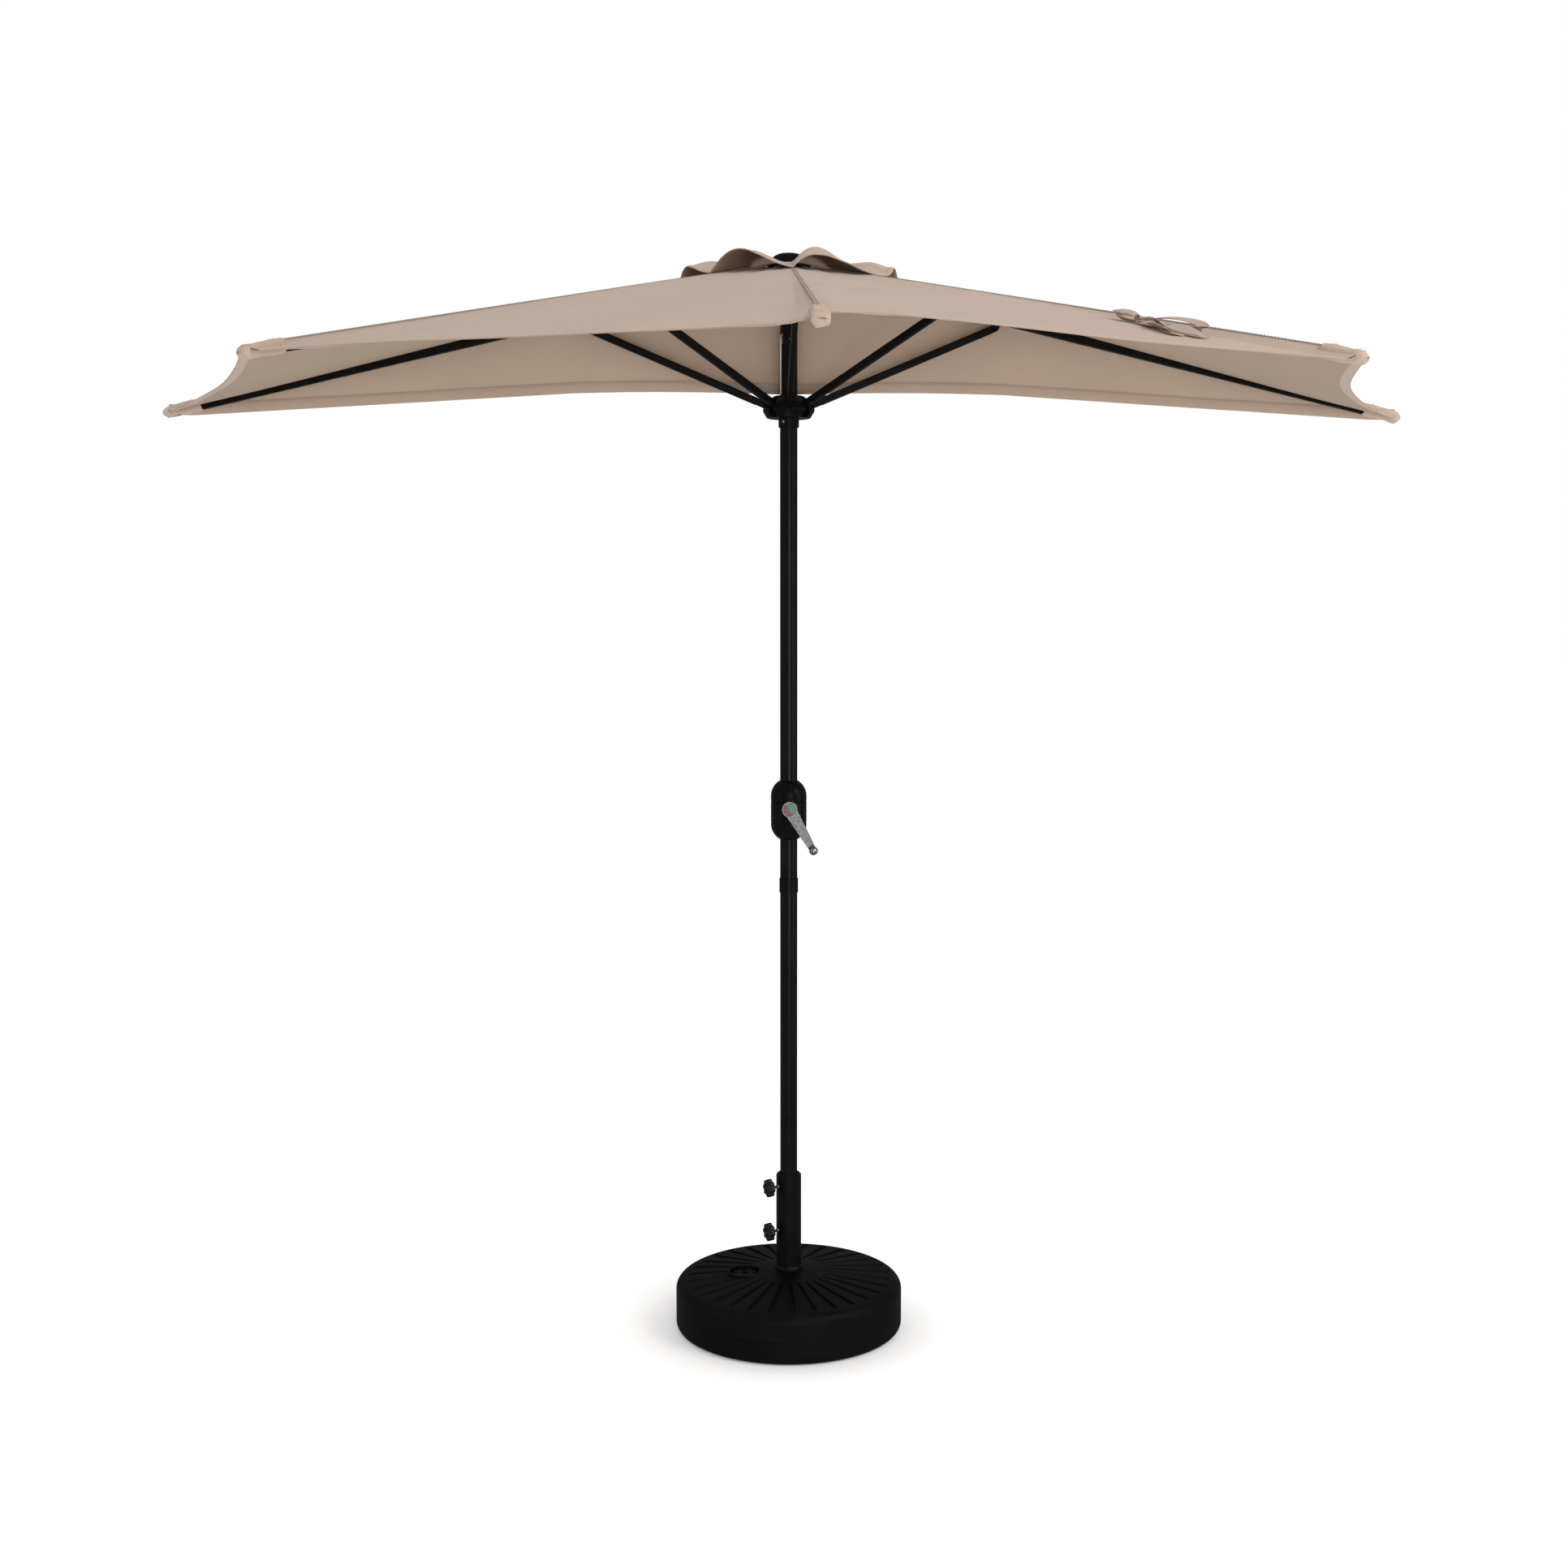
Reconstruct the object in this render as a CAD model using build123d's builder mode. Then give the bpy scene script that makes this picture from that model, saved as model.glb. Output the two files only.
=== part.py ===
from build123d import *

import os
from math import acos, asin, atan2, cos, degrees, hypot, pi, radians, sin, sqrt, tan

# A half-round patio umbrella on a fillable stand. Millimetres, +Z up, origin on the floor under the
# pole's axis. The straight (wall) side faces +Y, the middle rib points along -Y.

# ---- stand ---------------------------------------------------------------------------------------
BASE_RADIUS = 253.0
BASE_BOTTOM_ROUND = 16.0
BASE_RIM_Z = 107.0  # top of the rounded shoulder
BASE_SHOULDER_ROUND = 21.0
BASE_WALL = 4.0
HUB_RADIUS = 78.0  # smooth middle of the top face
HUB_RIM_Z = 125.5
SEAT_Z = 130.0  # where the sleeve's foot stands
SOCKET_FLOOR_Z = 42.0
CAVITY_ROOF_DROP = 11.0  # from the top face down to the cavity's roof
GROOVE_COUNT = 30
GROOVE_INNER_RADIUS = 86.0
GROOVE_OUTER_RADIUS = 221.0
GROOVE_INNER_WIDTH = 6.0
GROOVE_OUTER_WIDTH = 15.0
GROOVE_DEPTH = 4.5
SEAM_Z = 51.0
BALLAST_TOP_Z = 78.0
FILLER_X = -99.0
FILLER_RECESS_RADIUS = 34.0
FILLER_FLOOR_Z = 113.0
FILLER_NECK_RADIUS = 21.0
FILLER_CAP_RADIUS = 27.0

SLEEVE_RADIUS = 28.0
SLEEVE_BORE = 25.5
SLEEVE_TOP_Z = 344.0
SLEEVE_FOOT_RADIUS = 30.5
INSERT_TOP_Z = 350.0
KNOB_AZIMUTH = -62.0
KNOB_HEIGHTS = (320.5, 220.5)
KNOB_RADIUS = 20.5
KNOB_THICKNESS = 11.0
KNOB_INNER_FACE = 45.0  # from the pole's axis
KNOB_LOBES = 8
CLAMP_SCREW_RADIUS = 3.0

# ---- poles ---------------------------------------------------------------------------------------
POLE_RADIUS = 19.0
POLE_WALL = 1.5
POLE_BORE = POLE_RADIUS - POLE_WALL
LOWER_POLE_BOTTOM_Z = 48.0
POLE_JOINT_Z = 999.0
JOINT_RING_Z = (983.0, 1015.0)
JOINT_RING_RADIUS = 20.8
POLE_TOP_Z = 2334.0
LOOSE_FIT = 0.3  # between round faces that turn or slide in each other
CLOSE_FIT = 0.1  # between a pin or shaft and its bore

# ---- crank lift ----------------------------------------------------------------------------------
CRANK_Z = 1172.5
HOUSING_RADIUS = 39.4
HOUSING_TOP_Z = 1232.0
HOUSING_BOTTOM_Z = 1101.0
HOUSING_WALL = 3.0
CRANK_ANGLE = 30.0  # the arm's lean from straight down, towards +X
CRANK_LENGTH = 102.0
CRANK_HUB_RADIUS = 17.5
CRANK_HUB_Y = (-44.0, -63.0)
CRANK_ARM_THICKNESS = 9.0
CRANK_TIP_RADIUS = 7.5
GRIP_BALL_RADIUS = 9.5
GRIP_BALL_Y = -80.0
GRIP_PIN_RADIUS = 2.0
SHAFT_RADIUS = 4.0
CRANK_TURNS = 9  # from open to closed
SPOOL_FLANGE_RADIUS = 12.5
SPOOL_HALF_WIDTH = 12.0
SPOOL_FLANGE = 1.2
CORD_RADIUS = 1.5
CORD_AZIMUTH = -49.0
HOUSING_SCREW_HEIGHTS = (CRANK_Z - 40, CRANK_Z + 33)
HOUSING_SCREW_Y = 29.0
PULLEY_Z = 2188.0
PULLEY_GROOVE_RADIUS = 11.0
PULLEY_FLANGE_RADIUS = 13.5
PULLEY_HALF_WIDTH = 3.0
PULLEY_PIN_RADIUS = 2.0

# ---- fold ----------------------------------------------------------------------------------------
RIB_AZIMUTHS = (-90.0, -45.0, 0.0, 45.0, 90.0)
PIVOT_RADIUS = 45.0
RIB_PIVOT_Z = 2330.0
RUNNER_PIVOT_Z = 2045.5
RIB_SLOPE = 13.3  # degrees below level when open
CLOSED_SLOPE = 84.0
RIB_END_RADIUS = 1326.0
TIP_RADIUS = 1337.0
RIB_DEPTH = 18.0
RIB_WIDTH = 14.0
STRUT_DEPTH = 16.0
STRUT_WIDTH = 12.0
TUBE_WALL = 1.2
TONGUE_WIDTH = 7.0
BRACKET_ALONG = 419.0  # strut pivot, measured along the rib
BRACKET_DROP = 19.0  # and below its middle line
PIVOT_PIN_RADIUS = 2.5
PIN_HALF_LENGTH = 9.0

# ---- hub, finial and runner ----------------------------------------------------------------------
HUB_TOP_Z = 2342.5
HUB_BOTTOM_Z = 2318.0
HUB_OUTER_RADIUS = 54.0
HUB_BACK_Y = 23.0  # flat side that the back flap passes
HUB_SLOT_WIDTH = TONGUE_WIDTH + 1.2
FINIAL_RADIUS = 44.0
FINIAL_BRIM_Z = 2344.6
FINIAL_TOP_Z = 2369.5
STUD_RADIUS = 5.0
RUNNER_TOP_Z = 2067.0
RUNNER_BOTTOM_Z = 2020.0
RUNNER_COLLAR_Z = 2000.0
RUNNER_RADIUS = 57.0
RUNNER_SLOT_WIDTH = STRUT_WIDTH + 0.8
RUNNER_COLLAR_RADIUS = 22.3
RUNNER_SCREW_AZIMUTH = -32.0
RUNNER_SCREW_Z = RUNNER_COLLAR_Z + 11
CORD_END_Z = RUNNER_BOTTOM_Z + 12

# ---- canopy --------------------------------------------------------------------------------------
FABRIC = 1.2
RIDGE_ABOVE_PIVOT = 12.5
VENT_HOLE_RADIUS = 180.0
HEM_MIDDLE_RADIUS = 1192.0
SHARE_HALF_ANGLE = 22.48  # a hair under half a gore, so neighbouring shares don't meet
GORE_HALF_ANGLE = 22.5
VENT_INNER_RADIUS = 47.0
VENT_INNER_Z = 2344.6
VENT_OUTER_RADIUS = 236.0
VENT_OUTER_Z = 2318.0
FLAP_MIDDLE_Y = 26.0
FLAP_TIP_Y = 9.6
FLAP_HEM_Z = 2075.0
FLAP_HEM_HALF_FLAT = 470.0
STRAP_AZIMUTH = 45.0
STRAP_RADII = (880.0, 1030.0)
STRAP_WIDTH = 44.0
STRAP_THICKNESS = 12.0

# ---- linkage, worked out from the driving sizes --------------------------------------------------


def bracket_pivot(slope):
    """Radius and height of a strut's outer pivot with its rib at this slope."""
    s, c = sin(radians(slope)), cos(radians(slope))
    radius = PIVOT_RADIUS + BRACKET_ALONG * c - BRACKET_DROP * s
    return radius, RIB_PIVOT_Z - BRACKET_ALONG * s - BRACKET_DROP * c


open_radius, open_z = bracket_pivot(RIB_SLOPE)
closed_radius, closed_z = bracket_pivot(CLOSED_SLOPE)
STRUT_LENGTH = hypot(open_radius - PIVOT_RADIUS, open_z - RUNNER_PIVOT_Z)
STRUT_SLOPE = degrees(atan2(open_z - RUNNER_PIVOT_Z, open_radius - PIVOT_RADIUS))
strut_closed_slope = degrees(acos((closed_radius - PIVOT_RADIUS) / STRUT_LENGTH))
FOLD = CLOSED_SLOPE - RIB_SLOPE
STRUT_FOLD = FOLD + strut_closed_slope - STRUT_SLOPE
runner_closed_z = closed_z - STRUT_LENGTH * sin(radians(strut_closed_slope))
RUNNER_TRAVEL = RUNNER_PIVOT_Z - runner_closed_z
DRUM_RADIUS = RUNNER_TRAVEL / (2 * pi * CRANK_TURNS) - CORD_RADIUS


def outward(azimuth):
    """Level unit vector at this azimuth, counted from -Y towards +X."""
    return Vector(sin(radians(azimuth)), -cos(radians(azimuth)), 0)


def sideways(azimuth):
    return Vector(cos(radians(azimuth)), sin(radians(azimuth)), 0)


def radial_plane(azimuth):
    """Upright plane through the pole's axis: x runs outward and y runs up."""
    return Plane(origin=(0, 0, 0), x_dir=outward(azimuth), z_dir=-sideways(azimuth))


def member_plane(azimuth, radius, z, slope):
    """Plane whose x runs down along a sloping member and whose y is the member's upper side."""
    level, fall = outward(azimuth), radians(slope)
    along = level * cos(fall) + Vector(0, 0, -sin(fall))
    return Plane(origin=level * radius + Vector(0, 0, z), x_dir=along, z_dir=-sideways(azimuth))


def top_face_z(radius):
    """Height of the stand's cone-shaped top face."""
    fall = (HUB_RIM_Z - BASE_RIM_Z) / (BASE_RADIUS - HUB_RADIUS)
    return HUB_RIM_Z - (radius - HUB_RADIUS) * fall


def ridge_z(radius):
    """Height of the canopy's outer face along a rib."""
    return RIB_PIVOT_Z + RIDGE_ABOVE_PIVOT - (radius - PIVOT_RADIUS) * tan(radians(RIB_SLOPE))


def save(builder, name):
    builder.part.label = name
    export_step(builder.part, f"parts/{name}.step")


os.makedirs("parts", exist_ok=True)


# ==== stand =======================================================================================

cavity_inner = SLEEVE_RADIUS + BASE_WALL + 2
cavity_outer = BASE_RADIUS - BASE_WALL

with BuildPart() as base_tank:
    with BuildSketch(Plane.XZ):
        with BuildLine():
            FilletPolyline(
                (0, 0),
                (BASE_RADIUS, 0),
                (BASE_RADIUS, BASE_RIM_Z),
                (HUB_RADIUS, HUB_RIM_Z),
                (SLEEVE_RADIUS, SEAT_Z),
                (0, SEAT_Z),
                radius=(BASE_BOTTOM_ROUND, BASE_SHOULDER_ROUND, 30, 10),
            )
            Line((0, SEAT_Z), (0, 0))
        make_face()
    revolve(axis=Axis.Z)
    with BuildSketch(Plane.XZ):
        with BuildLine():
            FilletPolyline(
                (cavity_inner, BASE_WALL),
                (cavity_outer, BASE_WALL),
                (cavity_outer, BASE_RIM_Z - CAVITY_ROOF_DROP),
                (HUB_RADIUS, HUB_RIM_Z - CAVITY_ROOF_DROP),
                (cavity_inner, HUB_RIM_Z - CAVITY_ROOF_DROP),
                radius=(BASE_BOTTOM_ROUND - BASE_WALL, BASE_SHOULDER_ROUND - BASE_WALL, 20),
            )
            Line((cavity_inner, HUB_RIM_Z - CAVITY_ROOF_DROP), (cavity_inner, BASE_WALL))
        make_face()
    revolve(axis=Axis.Z, mode=Mode.SUBTRACT)
    # well for the sleeve and the pole's foot
    with BuildSketch(Plane.XY.offset(SOCKET_FLOOR_Z)):
        Circle(SLEEVE_RADIUS + 0.2)
    extrude(amount=SEAT_Z, mode=Mode.SUBTRACT)
    # moulding seam round the side
    with BuildSketch(Plane.XZ):
        with Locations((BASE_RADIUS, SEAM_Z)):
            Rectangle(1.2, 1.2, rotation=45)
    revolve(axis=Axis.Z, mode=Mode.SUBTRACT)
    # tapering grooves that lie along the sloping top face
    for number in range(GROOVE_COUNT):
        azimuth = number * 360 / GROOVE_COUNT
        face_slope = degrees(atan2(HUB_RIM_Z - BASE_RIM_Z, BASE_RADIUS - HUB_RADIUS))
        groove = member_plane(azimuth, HUB_RADIUS, HUB_RIM_Z, face_slope)
        start, end = GROOVE_INNER_RADIUS - HUB_RADIUS, GROOVE_OUTER_RADIUS - HUB_RADIUS
        face = Plane(origin=groove.origin, x_dir=groove.x_dir, z_dir=groove.y_dir)
        with BuildSketch(face):
            with BuildLine():
                Line((start, -GROOVE_INNER_WIDTH / 2), (end, -GROOVE_OUTER_WIDTH / 2))
                ThreePointArc(
                    (end, -GROOVE_OUTER_WIDTH / 2),
                    (end + GROOVE_OUTER_WIDTH / 2, 0),
                    (end, GROOVE_OUTER_WIDTH / 2),
                )
                Line((end, GROOVE_OUTER_WIDTH / 2), (start, GROOVE_INNER_WIDTH / 2))
                ThreePointArc(
                    (start, GROOVE_INNER_WIDTH / 2),
                    (start - GROOVE_INNER_WIDTH / 2, 0),
                    (start, -GROOVE_INNER_WIDTH / 2),
                )
            make_face()
        extrude(amount=-GROOVE_DEPTH, taper=20, mode=Mode.SUBTRACT)
    # filler: a raised ring round a recess, and the neck through its floor
    with BuildSketch(Plane((FILLER_X, 0, FILLER_FLOOR_Z - 7))):
        Circle(FILLER_RECESS_RADIUS + 5)
    extrude(amount=top_face_z(-FILLER_X) + 1.5 - FILLER_FLOOR_Z + 7)
    with BuildSketch(Plane((FILLER_X, 0, FILLER_FLOOR_Z))):
        Circle(FILLER_RECESS_RADIUS)
    extrude(amount=SEAT_Z, mode=Mode.SUBTRACT)
    with BuildSketch(Plane((FILLER_X, 0, BALLAST_TOP_Z))):
        Circle(FILLER_NECK_RADIUS)
    extrude(amount=SEAT_Z, mode=Mode.SUBTRACT)
save(base_tank, "base_tank")

with BuildPart() as ballast_fill:
    with BuildSketch(Plane.XZ):
        with BuildLine():
            FilletPolyline(
                (cavity_inner + 0.5, BASE_WALL + 0.5),
                (cavity_outer - 0.5, BASE_WALL + 0.5),
                (cavity_outer - 0.5, BALLAST_TOP_Z),
                radius=BASE_BOTTOM_ROUND - BASE_WALL - 0.5,
            )
            Polyline(
                (cavity_outer - 0.5, BALLAST_TOP_Z),
                (cavity_inner + 0.5, BALLAST_TOP_Z),
                (cavity_inner + 0.5, BASE_WALL + 0.5),
            )
        make_face()
    revolve(axis=Axis.Z)
save(ballast_fill, "ballast_fill")

# outer shell of the filler cap, screwed into the neck, with four notches for a coin or key
with BuildPart() as filler_cap:
    with BuildSketch(Plane((FILLER_X, 0, FILLER_FLOOR_Z + 1.8))):
        Circle(FILLER_CAP_RADIUS)
    extrude(amount=5)
    fillet(filler_cap.edges().group_by(Axis.Z)[-1], 1.5)
    with BuildSketch(Plane((FILLER_X, 0, FILLER_FLOOR_Z + 6.8))):
        with PolarLocations(FILLER_CAP_RADIUS - 6, 4):
            Rectangle(12, 8)
        Circle(8)
    extrude(amount=-3, mode=Mode.SUBTRACT)
    with BuildSketch(Plane((FILLER_X, 0, FILLER_FLOOR_Z + 1.8))):
        Circle(FILLER_NECK_RADIUS - LOOSE_FIT)
        Circle(FILLER_NECK_RADIUS - 3, mode=Mode.SUBTRACT)
    extrude(amount=-14)
save(filler_cap, "filler_cap")

with BuildPart() as filler_gasket:
    with BuildSketch(Plane((FILLER_X, 0, FILLER_FLOOR_Z))):
        Circle(FILLER_CAP_RADIUS - 1)
        Circle(FILLER_NECK_RADIUS + 0.5, mode=Mode.SUBTRACT)
    extrude(amount=1.7)
save(filler_gasket, "filler_gasket")

with BuildPart() as base_sleeve:
    with BuildSketch(Plane.XZ):
        with BuildLine():
            Polyline(
                (SLEEVE_BORE, SOCKET_FLOOR_Z + 4),
                (SLEEVE_RADIUS, SOCKET_FLOOR_Z + 4),
                (SLEEVE_RADIUS, SEAT_Z + 0.2),
                (SLEEVE_FOOT_RADIUS, SEAT_Z + 0.2),
                (SLEEVE_FOOT_RADIUS, SEAT_Z + 5),
                (SLEEVE_RADIUS, SEAT_Z + 10),
                (SLEEVE_RADIUS, SLEEVE_TOP_Z),
                (SLEEVE_BORE, SLEEVE_TOP_Z),
                close=True,
            )
        make_face()
    revolve(axis=Axis.Z)
    for height in KNOB_HEIGHTS:
        with BuildSketch(Plane((0, 0, height), z_dir=outward(KNOB_AZIMUTH))):
            Circle(CLAMP_SCREW_RADIUS + CLOSE_FIT)
        extrude(amount=SLEEVE_RADIUS + 5, mode=Mode.SUBTRACT)
save(base_sleeve, "base_sleeve")

# plastic reducer that fills the gap between the sleeve and the pole
with BuildPart() as sleeve_insert:
    with BuildSketch(Plane.XZ):
        with BuildLine():
            Polyline(
                (POLE_RADIUS + LOOSE_FIT, 150),
                (SLEEVE_BORE - 0.2, 150),
                (SLEEVE_BORE - 0.2, SLEEVE_TOP_Z + 0.1),
                (SLEEVE_RADIUS - 0.3, SLEEVE_TOP_Z + 0.1),
                (SLEEVE_RADIUS - 0.3, SLEEVE_TOP_Z + 2),
                (SLEEVE_RADIUS - 4.5, INSERT_TOP_Z),
                (POLE_RADIUS + 2.5, INSERT_TOP_Z),
                (POLE_RADIUS + LOOSE_FIT, INSERT_TOP_Z - 3),
                close=True,
            )
        make_face()
    revolve(axis=Axis.Z)
    for height in KNOB_HEIGHTS:
        with BuildSketch(Plane((0, 0, height), z_dir=outward(KNOB_AZIMUTH))):
            Circle(CLAMP_SCREW_RADIUS + 0.6)
        extrude(amount=SLEEVE_RADIUS + 5, mode=Mode.SUBTRACT)
save(sleeve_insert, "sleeve_insert")

# threaded rivets that the clamp screws run in
with BuildPart() as clamp_nuts:
    for height in KNOB_HEIGHTS:
        with BuildSketch(Plane((0, 0, height), z_dir=outward(KNOB_AZIMUTH))):
            Circle(5.5)
            Circle(CLAMP_SCREW_RADIUS + CLOSE_FIT, mode=Mode.SUBTRACT)
        extrude(amount=SLEEVE_RADIUS + 2.5)
        with BuildSketch(Plane((0, 0, height), z_dir=outward(KNOB_AZIMUTH))):
            Circle(7)
        extrude(amount=SLEEVE_RADIUS - 0.4, mode=Mode.SUBTRACT)
    with BuildSketch(Plane.XY.offset(SOCKET_FLOOR_Z)):
        Circle(SLEEVE_RADIUS + 0.1)
    extrude(amount=SLEEVE_TOP_Z, mode=Mode.SUBTRACT)
save(clamp_nuts, "clamp_nuts")


def clamp_knob(height, name):
    face = Plane((0, 0, height), z_dir=outward(KNOB_AZIMUTH))
    screw_axis = Axis(face.origin, face.z_dir)
    with BuildPart() as knob:
        with BuildSketch(face.offset(KNOB_INNER_FACE)):
            Circle(KNOB_RADIUS - 3)
            with PolarLocations(KNOB_RADIUS - 5.5, KNOB_LOBES):
                Circle(5.5)
        extrude(amount=KNOB_THICKNESS)
        fillet(knob.faces().sort_by(screw_axis)[-1].edges(), 2)
        fillet(knob.faces().sort_by(screw_axis)[0].edges(), 1.2)
        with BuildSketch(face.offset(KNOB_INNER_FACE - 5)):
            Circle(7.5)
        extrude(amount=6)
        with BuildSketch(face.offset(KNOB_INNER_FACE + KNOB_THICKNESS)):
            Circle(10)
        extrude(amount=-2, taper=20, mode=Mode.SUBTRACT)
        with BuildSketch(face.offset(KNOB_INNER_FACE - 5)):
            Circle(CLAMP_SCREW_RADIUS + 0.05)
        extrude(amount=12, mode=Mode.SUBTRACT)
    save(knob, name)


def clamp_screw(height, name):
    face = Plane((0, 0, height), z_dir=outward(KNOB_AZIMUTH))
    with BuildPart() as screw:
        with BuildSketch(face.offset(POLE_RADIUS + 0.4)):
            Circle(CLAMP_SCREW_RADIUS)
        extrude(amount=KNOB_INNER_FACE + 6 - POLE_RADIUS - 0.4)
    save(screw, name)


clamp_knob(KNOB_HEIGHTS[0], "knob_upper")
clamp_knob(KNOB_HEIGHTS[1], "knob_lower")
clamp_screw(KNOB_HEIGHTS[0], "knob_screw_upper")
clamp_screw(KNOB_HEIGHTS[1], "knob_screw_lower")


# ==== poles =======================================================================================

with BuildPart() as lower_pole:
    with BuildSketch(Plane.XY.offset(LOWER_POLE_BOTTOM_Z)):
        Circle(POLE_RADIUS)
        Circle(POLE_BORE, mode=Mode.SUBTRACT)
    extrude(amount=POLE_JOINT_Z - LOWER_POLE_BOTTOM_Z)
save(lower_pole, "lower_pole")

with BuildPart() as pole_foot_plug:
    with BuildSketch(Plane.XY.offset(SOCKET_FLOOR_Z + 0.1)):
        Circle(POLE_RADIUS)
    extrude(amount=LOWER_POLE_BOTTOM_Z - SOCKET_FLOOR_Z - 0.2)
    chamfer(pole_foot_plug.edges().group_by(Axis.Z)[0], 1.5)
    with BuildSketch(Plane.XY.offset(LOWER_POLE_BOTTOM_Z - 0.1)):
        Circle(POLE_BORE - 0.1)
    extrude(amount=14)
save(pole_foot_plug, "pole_foot_plug")

with BuildPart() as pole_coupler:
    with BuildSketch(Plane.XY.offset(POLE_JOINT_Z - 70)):
        Circle(POLE_BORE - LOOSE_FIT)
        Circle(POLE_BORE - LOOSE_FIT - 1.5, mode=Mode.SUBTRACT)
    extrude(amount=145)
save(pole_coupler, "pole_coupler")

with BuildPart() as joint_ring:
    with BuildSketch(Plane.XY.offset(JOINT_RING_Z[0])):
        Circle(JOINT_RING_RADIUS)
        Circle(POLE_RADIUS + LOOSE_FIT, mode=Mode.SUBTRACT)
    extrude(amount=JOINT_RING_Z[1] - JOINT_RING_Z[0])
    chamfer(joint_ring.edges().group_by(Axis.Z)[-1].sort_by(SortBy.RADIUS)[-1], 0.6)
    chamfer(joint_ring.edges().group_by(Axis.Z)[0].sort_by(SortBy.RADIUS)[-1], 0.6)
save(joint_ring, "joint_ring")

pulley_plane = radial_plane(CORD_AZIMUTH)
pulley_centre = outward(CORD_AZIMUTH) * PULLEY_GROOVE_RADIUS + Vector(0, 0, PULLEY_Z)
pulley_axis = Plane(origin=pulley_centre, x_dir=(0, 0, 1), z_dir=sideways(CORD_AZIMUTH))
cord_line = PULLEY_GROOVE_RADIUS + CORD_RADIUS  # of the cord's middle round the pulley
cord_outer_radius = PULLEY_GROOVE_RADIUS + cord_line  # of the outer run, from the pole's axis

with BuildPart() as upper_pole:
    with BuildSketch(Plane.XY.offset(POLE_JOINT_Z + LOOSE_FIT)):
        Circle(POLE_RADIUS)
        Circle(POLE_BORE, mode=Mode.SUBTRACT)
    extrude(amount=POLE_TOP_Z - POLE_JOINT_Z - LOOSE_FIT)
    # crank shaft, through both walls
    with BuildSketch(Plane.XZ.offset(-POLE_RADIUS - 1)):
        with Locations((0, CRANK_Z)):
            Circle(SHAFT_RADIUS + CLOSE_FIT)
    extrude(amount=2 * POLE_RADIUS + 2, mode=Mode.SUBTRACT)
    # slot and pin holes for the pulley
    with BuildSketch(pulley_axis.offset(-PULLEY_HALF_WIDTH - 1)):
        Circle(PULLEY_FLANGE_RADIUS + 1.5)
    extrude(amount=2 * PULLEY_HALF_WIDTH + 2, mode=Mode.SUBTRACT)
    with BuildSketch(pulley_axis.offset(-POLE_RADIUS)):
        Circle(PULLEY_PIN_RADIUS + CLOSE_FIT)
    extrude(amount=2 * POLE_RADIUS, mode=Mode.SUBTRACT)
save(upper_pole, "upper_pole")


# ==== crank lift ==================================================================================

dome_drop = sqrt(HOUSING_RADIUS**2 - POLE_RADIUS**2)
top_equator = HOUSING_TOP_Z - dome_drop
bottom_equator = HOUSING_BOTTOM_Z + dome_drop


def housing_screw_plane(height):
    """Plane across a joining screw, with its z along the screw."""
    return Plane((0, HOUSING_SCREW_Y, height), x_dir=(0, 1, 0), z_dir=(1, 0, 0))


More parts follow.
